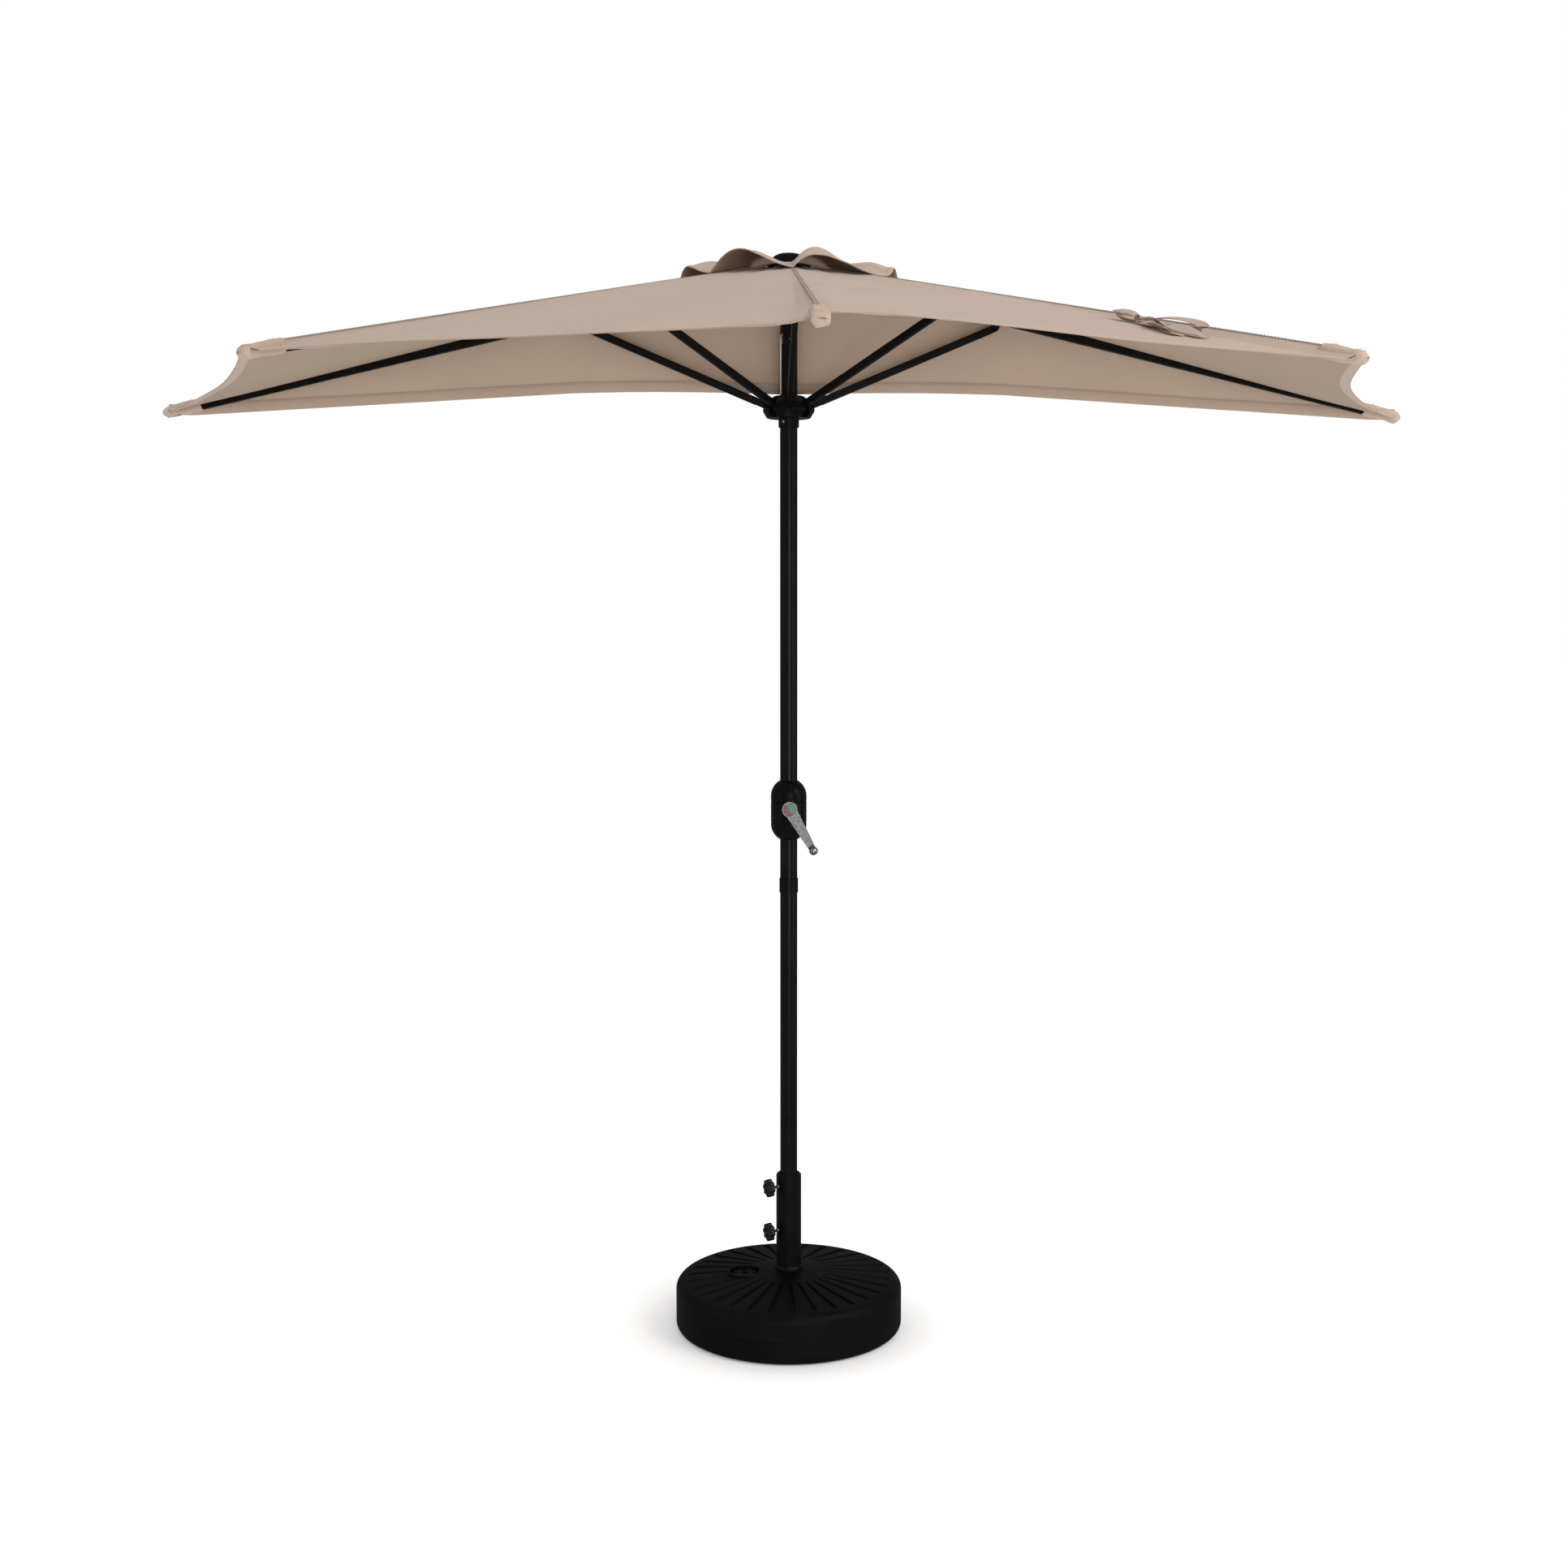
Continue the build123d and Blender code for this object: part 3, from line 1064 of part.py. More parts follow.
# closing strap, tied in a bow on the right front rib
with BuildPart() as tie_strap:
    strap_radius = STRAP_RADII[0]
    strap_line = member_plane(STRAP_AZIMUTH, strap_radius, ridge_z(strap_radius) + 0.6, RIB_SLOPE)
    strap_face = Plane(origin=strap_line.origin, x_dir=strap_line.x_dir, z_dir=strap_line.y_dir)
    with BuildSketch(strap_face):
        with Locations(((STRAP_RADII[1] - STRAP_RADII[0]) / 2, 0)):
            RectangleRounded(STRAP_RADII[1] - STRAP_RADII[0], STRAP_WIDTH, STRAP_THICKNESS)
    extrude(amount=STRAP_THICKNESS)
save(tie_strap, "tie_strap")

print(f"strut: length {STRUT_LENGTH:.3f}, slope {STRUT_SLOPE:.4f}, fold {STRUT_FOLD:.4f}")
print(f"ribs: fold {FOLD:.4f}; runner: travel {RUNNER_TRAVEL:.3f}; drum: radius {DRUM_RADIUS:.3f}")
print(f"strut's outer pivot: radius {open_radius:.3f}, z {open_z:.3f}")
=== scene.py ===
"""Half-round patio umbrella: cloth, cord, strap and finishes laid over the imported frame."""

from math import atan2, cos, degrees, exp, hypot, log, pi, radians, sin, tan

import bpy
from mathutils import Euler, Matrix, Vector, noise


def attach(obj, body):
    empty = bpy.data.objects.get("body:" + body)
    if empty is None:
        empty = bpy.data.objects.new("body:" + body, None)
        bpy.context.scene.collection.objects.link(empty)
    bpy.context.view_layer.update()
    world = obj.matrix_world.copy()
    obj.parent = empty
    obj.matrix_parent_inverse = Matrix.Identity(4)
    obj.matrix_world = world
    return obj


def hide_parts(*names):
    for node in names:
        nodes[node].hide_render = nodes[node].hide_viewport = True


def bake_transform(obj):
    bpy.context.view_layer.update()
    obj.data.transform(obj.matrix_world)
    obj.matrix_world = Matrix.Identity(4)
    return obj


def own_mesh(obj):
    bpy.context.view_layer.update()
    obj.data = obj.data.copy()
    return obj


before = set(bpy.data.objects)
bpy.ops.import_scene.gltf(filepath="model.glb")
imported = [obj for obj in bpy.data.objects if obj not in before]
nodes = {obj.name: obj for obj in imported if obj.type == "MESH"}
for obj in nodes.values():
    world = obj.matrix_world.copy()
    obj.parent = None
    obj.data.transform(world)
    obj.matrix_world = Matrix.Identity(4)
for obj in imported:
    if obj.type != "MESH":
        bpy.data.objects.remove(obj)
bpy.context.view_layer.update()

# ---- driving sizes, metres and degrees, in the frame of the CAD --------------------------------
RIBS = {1: -90.0, 2: -45.0, 3: 0.0, 4: 45.0, 5: 90.0}
HALF_GORE = 22.5
RIDGE_ANGLE = 13.3  # below level when open
RIDGE_SLOPE = tan(radians(RIDGE_ANGLE))
GORE_FALL = RIDGE_SLOPE / cos(radians(HALF_GORE))
APEX_Z = 2.353137
VENT_HOLE = 0.120
TIP = 1.337
# how far each gore's hem curves in from the straight line between its tips, and to which side more
HEM_CURVES = {-67.5: (0.048, -0.25), -22.5: (0.043, 0.0), 22.5: (0.043, 0.0), 67.5: (0.062, 0.35)}
CLOTH = 0.0010
VENT_EDGE = 0.238
VENT_NECK = 0.047
VENT_Z = 2.3448
# each lobe of the vent cap: where across its gore it stands highest, and how high
VENT_LOBES = {-67.5: (0.28, 0.050), -22.5: (0.36, 0.051), 22.5: (0.36, 0.062), 67.5: (0.70, 0.050)}
FLAP_HEM_Z = 2.075
FLAP_FLAT = 0.470
CORD_AZIMUTH = -49.0
CORD_R = 0.0235
CORD_RADIUS = 0.0015
CORD_TOP_Z = 2.1878
CORD_BOTTOM_Z = 2.0320
KNOB_AZIMUTH = -62.0
CRANK_Z = 1.1725
VENT_NECK_Z = 2.34392  # the cloth clamped between hub and finial
WELT_END = 1.270
FLAP_TOP_Z = 2.3400
STRAP_AZIMUTH = 45.0
STRAP_KNOT = 0.937


def outward(azimuth):
    return Vector((sin(radians(azimuth)), -cos(radians(azimuth)), 0))


def sideways(azimuth):
    return Vector((cos(radians(azimuth)), sin(radians(azimuth)), 0))


def at(rho, azimuth, z):
    return outward(azimuth) * rho + Vector((0, 0, z))


def ridge_z(rho):
    return APEX_Z - rho * RIDGE_SLOPE


def smooth(t):
    t = min(max(t, 0.0), 1.0)
    return t * t * (3 - 2 * t)


# ---- material building blocks --------------------------------------------------------------------
def new_material(name, colour, roughness, **sockets):
    m = bpy.data.materials.new(name)
    m.use_nodes = True
    shader = m.node_tree.nodes["Principled BSDF"]
    shader.inputs["Base Color"].default_value = (*colour, 1)
    shader.inputs["Roughness"].default_value = roughness
    for socket, value in sockets.items():
        shader.inputs[socket.replace("_", " ")].default_value = value
    return m, m.node_tree, shader


def link(tree, a, b):
    tree.links.new(a, b)


def coordinates(tree, kind="Object"):
    return tree.nodes.new("ShaderNodeTexCoord").outputs[kind]


def noise_node(tree, coord, scale, detail=3.0, stretch=None):
    if stretch:
        mapping = tree.nodes.new("ShaderNodeMapping")
        mapping.inputs["Scale"].default_value = stretch
        link(tree, coord, mapping.inputs["Vector"])
        coord = mapping.outputs["Vector"]
    n = tree.nodes.new("ShaderNodeTexNoise")
    n.inputs["Scale"].default_value = scale
    n.inputs["Detail"].default_value = detail
    link(tree, coord, n.inputs["Vector"])
    return n.outputs["Fac"]


def span(tree, value, low, high, from_low=0.3, from_high=0.7):
    n = tree.nodes.new("ShaderNodeMapRange")
    for socket, v in zip(("From Min", "From Max", "To Min", "To Max"), (from_low, from_high, low, high)):
        n.inputs[socket].default_value = v
    link(tree, value, n.inputs["Value"])
    return n.outputs["Result"]


def arithmetic(tree, operation, a, b=None):
    n = tree.nodes.new("ShaderNodeMath")
    n.operation = operation
    for socket, v in zip(n.inputs, (a, b)):
        if v is None:
            continue
        if isinstance(v, (int, float)):
            socket.default_value = v
        else:
            link(tree, v, socket)
    return n.outputs[0]


def blend_colours(tree, shader, factor, first, second):
    n = tree.nodes.new("ShaderNodeMix")
    n.data_type = "RGBA"
    n.inputs["A"].default_value = (*first, 1)
    n.inputs["B"].default_value = (*second, 1)
    link(tree, factor, n.inputs["Factor"])
    link(tree, n.outputs["Result"], shader.inputs["Base Color"])
    return n


def bump(tree, shader, height, distance, strength=1.0):
    n = tree.nodes.new("ShaderNodeBump")
    n.inputs["Distance"].default_value = distance
    n.inputs["Strength"].default_value = strength
    link(tree, height, n.inputs["Height"])
    link(tree, n.outputs["Normal"], shader.inputs["Normal"])


def scaled(colour, k):
    return tuple(c * k for c in colour)


def cloth_material(name, colour, thread=0.0011, roughness=0.9):
    """Plain-weave cloth; the weave runs along the cloth's own UVs, which are in metres."""
    m, tree, shader = new_material(name, colour, roughness)
    shader.inputs["Sheen Weight"].default_value = 0.12
    shader.inputs["Sheen Roughness"].default_value = 0.6
    shader.inputs["Specular IOR Level"].default_value = 0.25
    uv = coordinates(tree, "UV")
    split = tree.nodes.new("ShaderNodeSeparateXYZ")
    link(tree, uv, split.inputs[0])
    waves = []
    for axis, other in (("X", "Y"), ("Y", "X")):
        across = arithmetic(tree, "MULTIPLY", split.outputs[axis], 2 * pi / thread)
        shift = arithmetic(tree, "MULTIPLY", split.outputs[other], pi / thread)
        crossing = arithmetic(tree, "SINE", across), arithmetic(tree, "SINE", shift)
        waves.append(arithmetic(tree, "MULTIPLY", *crossing))
    weave = arithmetic(tree, "MAXIMUM", waves[0], waves[1])
    spots = noise_node(tree, coordinates(tree), 5.0, 4.0)
    slubs = noise_node(tree, uv, 90.0, 3.0, stretch=(1.0, 7.0, 1.0))
    tone = arithmetic(tree, "ADD", span(tree, spots, -0.35, 0.35), span(tree, slubs, -0.3, 0.3))
    tone = arithmetic(tree, "ADD", tone, arithmetic(tree, "MULTIPLY", weave, 0.12))
    mix = span(tree, tone, 0.0, 1.0, -1.0, 1.0)
    blend_colours(tree, shader, mix, scaled(colour, 0.93), scaled(colour, 1.07))
    raised = arithmetic(tree, "MULTIPLY", weave, 0.5), arithmetic(tree, "MULTIPLY", slubs, 0.6)
    height = arithmetic(tree, "ADD", *raised)
    bump(tree, shader, height, 0.00035, 0.6)
    return m


def coated_metal(name, colour, roughness):
    m, tree, shader = new_material(name, colour, roughness)
    shader.inputs["Coat Weight"].default_value = 0.06
    shader.inputs["Coat Roughness"].default_value = 0.22
    shader.inputs["Specular IOR Level"].default_value = 0.14
    peel = noise_node(tree, coordinates(tree), 420.0, 2.0)
    wear = noise_node(tree, coordinates(tree), 14.0, 5.0)
    blend_colours(tree, shader, span(tree, wear, 0, 1), scaled(colour, 0.8), scaled(colour, 1.35))
    link(tree, span(tree, wear, roughness - 0.05, roughness + 0.08), shader.inputs["Roughness"])
    bump(tree, shader, peel, 0.00012, 0.35)
    return m


def moulded_plastic(name, colour, roughness, grain=1400.0, depth=0.00012, specular=0.4):
    m, tree, shader = new_material(name, colour, roughness)
    shader.inputs["Specular IOR Level"].default_value = specular
    pits = noise_node(tree, coordinates(tree), grain, 2.0)
    clouds = noise_node(tree, coordinates(tree), 11.0, 5.0)
    blend_colours(tree, shader, span(tree, clouds, 0, 1), scaled(colour, 0.82), scaled(colour, 1.3))
    link(tree, span(tree, clouds, roughness - 0.05, roughness + 0.07), shader.inputs["Roughness"])
    bump(tree, shader, pits, depth, 0.7)
    return m


def bright_metal(name, colour, roughness, stretch=None, pit=0.00005):
    m, tree, shader = new_material(name, colour, roughness, Metallic=1.0)
    scratches = noise_node(tree, coordinates(tree), 500.0, 2.0, stretch=stretch)
    link(tree, span(tree, scratches, roughness * 0.7, roughness * 1.5), shader.inputs["Roughness"])
    blend_colours(tree, shader, scratches, scaled(colour, 0.88), colour)
    bump(tree, shader, scratches, pit, 0.3)
    return m


def threaded_steel(name, direction, pitch):
    """Steel with a fine thread cut round it along the given direction; its grooves carry painted shade and
    its crests a painted highlight.
    """
    m, tree, shader = new_material(name, (0.62, 0.62, 0.64), 0.25, Metallic=1.0)
    dot = tree.nodes.new("ShaderNodeVectorMath")
    dot.operation = "DOT_PRODUCT"
    link(tree, coordinates(tree), dot.inputs[0])
    dot.inputs[1].default_value = direction * (2 * pi / pitch)
    groove = arithmetic(tree, "SINE", dot.outputs["Value"])
    # painted shade in the thread's grooves and a painted highlight on its crests
    blend_colours(tree, shader, span(tree, groove, 0, 1, -1, 1), (0.18, 0.18, 0.19), (0.72, 0.72, 0.74))
    bump(tree, shader, groove, 0.0004, 1.0)
    return m


def two_tone_cover(name):
    """Glossy cap, parted slantwise in two colours."""
    m, tree, shader = new_material(name, (0.1, 0.3, 0.2), 0.3)
    centre = Vector((0, 0, CRANK_Z))
    split = Vector((0.85, 0, 0.53)).normalized()
    dot = tree.nodes.new("ShaderNodeVectorMath")
    dot.operation = "DOT_PRODUCT"
    link(tree, coordinates(tree), dot.inputs[0])
    dot.inputs[1].default_value = split * 1000
    soft = noise_node(tree, coordinates(tree), 900.0, 2.0)
    edge = arithmetic(tree, "ADD", dot.outputs["Value"], arithmetic(tree, "MULTIPLY", soft, 0.8))
    half = span(tree, edge, 0, 1, centre.dot(split) * 1000 - 0.2, centre.dot(split) * 1000 + 0.6)
    blend_colours(tree, shader, half, (0.13, 0.032, 0.030), (0.040, 0.150, 0.095))
    bump(tree, shader, soft, 0.00008, 0.3)
    return m


CLOTH_TOP = (0.410, 0.307, 0.238)
# the underside is the same cloth painted darker: painted shade on the canopy's underside
CLOTH_UNDER_PAINTED_SHADE = (0.299, 0.208, 0.142)
# the back flap's inner face is the same cloth painted lighter: painted light on the flap's inside
CLOTH_BACK_IN_PAINTED_LIGHT = (0.500, 0.385, 0.300)
cloth_top = cloth_material("cloth_top", CLOTH_TOP)
cloth_under_painted_shade = cloth_material("cloth_under_painted_shade", CLOTH_UNDER_PAINTED_SHADE)
cloth_back_in_painted_light = cloth_material("cloth_back_in_painted_light", CLOTH_BACK_IN_PAINTED_LIGHT)
cloth_hem = cloth_material("cloth_hem", scaled(CLOTH_TOP, 0.97))
cloth_strap = cloth_material("cloth_strap", scaled(CLOTH_TOP, 0.88), thread=0.0014)
thread_light = new_material("thread_light", (0.52, 0.43, 0.35), 0.7)[0]
thread_dark = new_material("thread_dark", (0.25, 0.19, 0.15), 0.7)[0]
# the seam welt is the same cloth painted darker: painted shade along the welt
cloth_seam_painted_shade = cloth_material("cloth_seam_painted_shade", scaled(CLOTH_TOP, 0.78))
frame_paint = coated_metal("frame_paint", (0.0030, 0.0030, 0.0032), 0.36)
pole_paint = coated_metal("pole_paint", (0.0040, 0.0040, 0.0042), 0.30)
black_plastic = moulded_plastic("black_plastic", (0.0032, 0.0032, 0.0034), 0.36, specular=0.14)
housing_plastic = moulded_plastic("housing_plastic", (0.0034, 0.0034, 0.0036), 0.36, specular=0.13)
base_plastic = moulded_plastic(
    "base_plastic", (0.0036, 0.0036, 0.0038), 0.46, grain=800.0, depth=0.0002, specular=0.08
)
cap_plastic = moulded_plastic("cap_plastic", (0.0030, 0.0030, 0.0032), 0.4, specular=0.12)
knob_plastic = moulded_plastic("knob_plastic", (0.004, 0.004, 0.0042), 0.25, depth=0.00004, specular=0.4)
chrome = bright_metal("chrome", (0.62, 0.62, 0.63), 0.14)
cast_chrome = bright_metal("cast_chrome", (0.19, 0.19, 0.195), 0.30, pit=0.0012)
steel = bright_metal("steel", (0.60, 0.60, 0.62), 0.28, stretch=(1, 1, 12))
rubber = moulded_plastic("rubber", (0.012, 0.012, 0.012), 0.75)
sand = moulded_plastic("sand", (0.45, 0.38, 0.28), 0.95, grain=2500.0, depth=0.0005, specular=0.1)
cord_white = moulded_plastic("cord_white", (0.50, 0.50, 0.49), 0.6, grain=1600.0, depth=0.0004)
knob_axis = outward(KNOB_AZIMUTH)
screw_thread = threaded_steel("screw_thread", knob_axis, 0.0011)
cover_two_tone = two_tone_cover("cover_two_tone")

FINISH = {
    "base_tank": base_plastic,
    "ballast_fill": sand,
    "filler_cap": cap_plastic,
    "filler_gasket": rubber,
    "base_sleeve": frame_paint,
    "lower_pole": pole_paint,
    "upper_pole": pole_paint,
    "knob_upper": knob_plastic,
    "knob_lower": knob_plastic,
    "knob_screw_upper": screw_thread,
    "knob_screw_lower": screw_thread,
    "housing_left": housing_plastic,
    "housing_right": housing_plastic,
    "crank_bush": housing_plastic,
    "crank_cover": cover_two_tone,
    "crank_arm": cast_chrome,
    "crank_grip": chrome,
    "lift_cord_inner": cord_white,
}
STEELS = (
    "clamp_nuts",
    "housing_screws",
    "brake_spring",
    "crank_shaft",
    "grip_pin",
    "hub_pins",
    "pulley_pin",
    "cord_pulley",
    "runner_screw",
    "pole_coupler",
)
for name, node in nodes.items():
    material = FINISH.get(name, black_plastic)
    if name in STEELS:
        material = steel
    if name.startswith(("rib_", "strut_")) and "fittings" not in name:
        material = frame_paint
    node.data.materials.clear()
    node.data.materials.append(material)


# ---- mesh building blocks ------------------------------------------------------------------------
def mesh_piece(name, points, faces, materials, uvs=None, shade_smooth=True):
    data = bpy.data.meshes.new(name)
    data.from_pydata([tuple(p) for p in points], [], faces)
    data.validate()
    if uvs:
        layer = data.uv_layers.new(name="UVMap")
        for loop in data.loops:
            layer.data[loop.index].uv = uvs[loop.vertex_index]
    if shade_smooth:
        data.polygons.foreach_set("use_smooth", [True] * len(data.polygons))
    for m in materials:
        data.materials.append(m)
    piece = bpy.data.objects.new(name, data)
    bpy.context.scene.collection.objects.link(piece)
    return piece


def grid(name, rows, materials, uv_rows=None, closed=False):
    """Quad mesh over rows of points; closed joins each row's end to its start."""
    count = len(rows[0])
    points = [p for row in rows for p in row]
    faces = []
    for i in range(len(rows) - 1):
        for j in range(count if closed else count - 1):
            a, b = i * count + j, i * count + (j + 1) % count
            faces.append((a, b, b + count, a + count))
    uvs = [uv for row in uv_rows for uv in row] if uv_rows else None
    if uvs is None:
        uvs = [(j * 0.004, i * 0.004) for i in range(len(rows)) for j in range(count)]
    return mesh_piece(name, points, faces, materials, uvs)


def thicken(piece, thickness=CLOTH, offset=-1.0, inner_slot=0, rim=True):
    m = piece.modifiers.new("thickness", "SOLIDIFY")
    m.thickness = thickness
    m.offset = offset
    m.use_even_offset = False
    m.use_rim = rim
    m.material_offset = inner_slot
    m.material_offset_rim = 0
    return piece


def stitches(name, line, normal_of, thread=None, length=0.0042, gap=0.0028, width=0.0009):
    """Run of separate raised stitches along a line of points."""
    section = ((0, 0.0, 0.5), (0.2, 0.0007, 1), (0.8, 0.0007, 1), (1, 0.0, 0.5))  # along, height, width
    points, faces = [], []
    travelled, next_start = 0.0, 0.002
    for a, b in zip(line, line[1:]):
        step = (b - a).length
        if step < 1e-7:
            continue
        along = (b - a) / step
        while next_start < travelled + step:
            start = a + along * (next_start - travelled)
            up = normal_of(start)
            across = along.cross(up).normalized() * width / 2
            base = len(points)
            for k, (s, h, w) in enumerate(section):
                centre = start + along * (s * length)
                points += [centre - across * w - up * 0.0003, centre + up * h]
                points.append(centre + across * w - up * 0.0003)
                if k:
                    p = base + 3 * (k - 1)
                    faces += [(p, p + 1, p + 4, p + 3), (p + 1, p + 2, p + 5, p + 4)]
            next_start += length + gap
        travelled += step
    return mesh_piece(name, points, faces, [thread or thread_light])


# ---- canopy surface ------------------------------------------------------------------------------
def nearest_rib(azimuth):
    return min(RIBS.values(), key=lambda a: abs(a - azimuth))


def gore_middle(azimuth):
    k = min(max(int((azimuth + 90) // 45), 0), 3)
    return -67.5 + 45 * k


def off_rib(azimuth):
    """0 on a rib, 1 half way between two ribs."""
    return min(abs(azimuth - nearest_rib(azimuth)) / HALF_GORE, 1.0)


def hem_radius(azimuth):
    middle = gore_middle(azimuth)
    chord = TIP * cos(radians(HALF_GORE)) / cos(radians(azimuth - middle))
    depth, skew = HEM_CURVES[middle]
    t = (azimuth - middle) / HALF_GORE
    return chord - depth * (1 - t * t) * (1 + skew * t)


def hem_droop(azimuth):
    """How far the cloth hangs below the flat gore at its hem; more on one side of the front rib."""
    left = 0.011 + 0.007 * smooth((azimuth + 45) / 45)
    right = 0.016 * smooth(azimuth / 38)
    return left + (right - left) * smooth((azimuth + 2.6) / 4.0)


def skin_z(rho, azimuth):
    """Height of the stretched cloth: flat gores, a little slack between the ribs, pulls at the tips."""
    middle = gore_middle(azimuth)
    z = APEX_Z - GORE_FALL * rho * cos(radians(azimuth - middle))
    between = sin(off_rib(azimuth) * pi / 2) ** 2
    run = (rho - VENT_HOLE) / (hem_radius(azimuth) - VENT_HOLE)
    z -= 0.006 * between * sin(pi * min(max(run, 0.0), 1.0))
    beside_rib = rho * radians(abs(azimuth - nearest_rib(azimuth)))
    z -= hem_droop(azimuth) * smooth((run - 0.25) / 0.75) * smooth(beside_rib / 0.020)
    x, y = rho * sin(radians(azimuth)), -rho * cos(radians(azimuth))
    calm = smooth(off_rib(azimuth) * 4)
    z += 0.0035 * calm * noise.noise(Vector((x * 3.1, y * 3.1, 4.0)))
    rib = nearest_rib(azimuth)
    tip = Vector((TIP * sin(radians(rib)), -TIP * cos(radians(rib))))
    dx, dy = x - tip.x, y - tip.y
    reach, turn = hypot(dx, dy), atan2(dy, dx)
    z += 0.0032 * exp(-((reach / 0.20) ** 2)) * sin(15 * turn) * smooth(reach / 0.03) * calm
    ring = exp(-(((rho - VENT_HOLE) / 0.10) ** 2))
    z += 0.0018 * ring * calm * sin(radians(azimuth) * 26 + 1.3)
    return z


def skin(rho, azimuth, lift=0.0):
    return at(rho, azimuth, skin_z(rho, azimuth) + lift)


def skin_xy(p, lift=0.0):
    """The cloth's point above or below a point."""
    azimuth = degrees(atan2(p.x, -p.y))
    azimuth = min(max(azimuth, -90.0), 90.0)
    return Vector((p.x, p.y, skin_z(hypot(p.x, p.y), azimuth) + lift))


def share_sides(azimuth):
    return [s for s in (-1, 1) if abs(azimuth + s * HALF_GORE) < 90]


def share_azimuths(azimuth, steps=16):
    sides = share_sides(azimuth)
    low = azimuth + (-HALF_GORE if -1 in sides else 0)
    high = azimuth + (HALF_GORE if 1 in sides else 0)
    count = steps * len(sides)
    return [low + (high - low) * k / count for k in range(count + 1)]


def ride_rib(piece, number):
    """Moves with the rib, on a mesh of its own."""
    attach(piece, f"rib_{number}")
    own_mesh(piece)
    return piece


def up(_):
    return Vector((0, 0, 1))


def main_share(number):
    azimuth = RIBS[number]
    azimuths = share_azimuths(azimuth)
    rows, uv_rows = [], []
    for u in range(57):
        t = u / 56
        row, uv = [], []
        for a in azimuths:
            rho = VENT_HOLE + (hem_radius(a) - VENT_HOLE) * t
            row.append(skin(rho, a))
            turn = radians(a - gore_middle(a))
            uv.append((rho * sin(turn), rho * cos(turn)))
        rows.append(row)
        uv_rows.append(uv)
    rows, uv_rows = [r[::-1] for r in rows], [r[::-1] for r in uv_rows]
    # the underside slot takes the darker painted-shade copy of the cloth
    piece = grid(f"canopy_cloth_{number}", rows, [cloth_top, cloth_under_painted_shade], uv_rows)
    thicken(piece, inner_slot=1, rim=False)
    ride_rib(piece, number)
    return piece


def folded_edge(name, edge_points, inward, lift, width=0.020, thick=0.0013):
    """Hem: the cloth's edge turned under, as a flat fold round the edge."""
    rows = [[], [], [], [], [], []]
    for p, d in zip(edge_points, inward):
        high, low = Vector((0, 0, lift)), Vector((0, 0, lift - CLOTH - thick))
        rows[0].append(p + d * width + high * 0.4)
        rows[1].append(p + d * (width * 0.85) + high)
        rows[2].append(p + d * 0.0015 + high * 1.3)
        rows[3].append(p - d * 0.0012 + (high + low) / 2)
        rows[4].append(p + d * 0.0015 + low)
        rows[5].append(p + d * width + low * 0.8)
    uv_rows = []
    for k in range(6):
        run, uv = 0.0, []
        for j, p in enumerate(rows[k]):
            if j:
                run += (p - rows[k][j - 1]).length
            uv.append((run, k * 0.008))
        uv_rows.append(uv)
    return grid(name, rows, [cloth_hem], uv_rows)


def hem_pieces(number):
    azimuths = share_azimuths(RIBS[number], 24)
    edge = [skin(hem_radius(a), a) for a in azimuths]
    inward = []
    for a in azimuths:
        nearer = skin(hem_radius(a) - 0.02, a)
        inward.append((nearer - skin(hem_radius(a), a)).normalized())
    hem = folded_edge(f"canopy_hem_{number}", edge, inward, 0.0009)
    ride_rib(hem, number)
    line = [p + d * 0.0165 + Vector((0, 0, 0.0011)) for p, d in zip(edge, inward)]
    sewn = ride_rib(stitches(f"hem_stitches_{number}", line, up), number)
    return [hem, sewn]


def ridge_welt(number):
    """Flat-felled seam over the rib: two raised folds with a groove between them, in the cloth painted
    darker as painted shade.
    """
    azimuth = RIBS[number]
    sides = share_sides(azimuth)
    half = [(0.6, 0.6), (2.0, 0.9), (2.9, 0.7), (3.4, 0.1)]
    profile = [(-a, h) for a, h in reversed(half)] + [(0, -0.2)] + half
    rows, uv_rows = [], []
    for k in range(91):
        rho = VENT_HOLE + 0.002 + (WELT_END - VENT_HOLE) * k / 90
        wander = 0.0012 * noise.noise(Vector((rho * 9, azimuth, 0)))
        row, uv = [], []
        for offset, height in profile:
            flat = outward(azimuth) * rho + sideways(azimuth) * (offset / 1000 + wander)
            on_cloth = len(sides) == 2 or offset * sides[0] > 0
            over = skin_xy(flat) if on_cloth else Vector((*flat.xy, ridge_z(rho)))
            row.append(over + Vector((0, 0, height / 1000)))
            uv.append((offset / 1000, rho))
        rows.append(row)
        uv_rows.append(uv)
    welt = ride_rib(grid(f"seam_welt_{number}", rows, [cloth_seam_painted_shade], uv_rows), number)
    found = [welt]
    for side in (-1, 1):
        line = [rows[k][4 + 3 * side] + Vector((0, 0, 0.0008)) for k in range(91)]
        sewn = stitches(f"seam_stitches_{number}_{'lr'[side > 0]}", line, up, thread_dark)
        found.append(ride_rib(sewn, number))
    return found


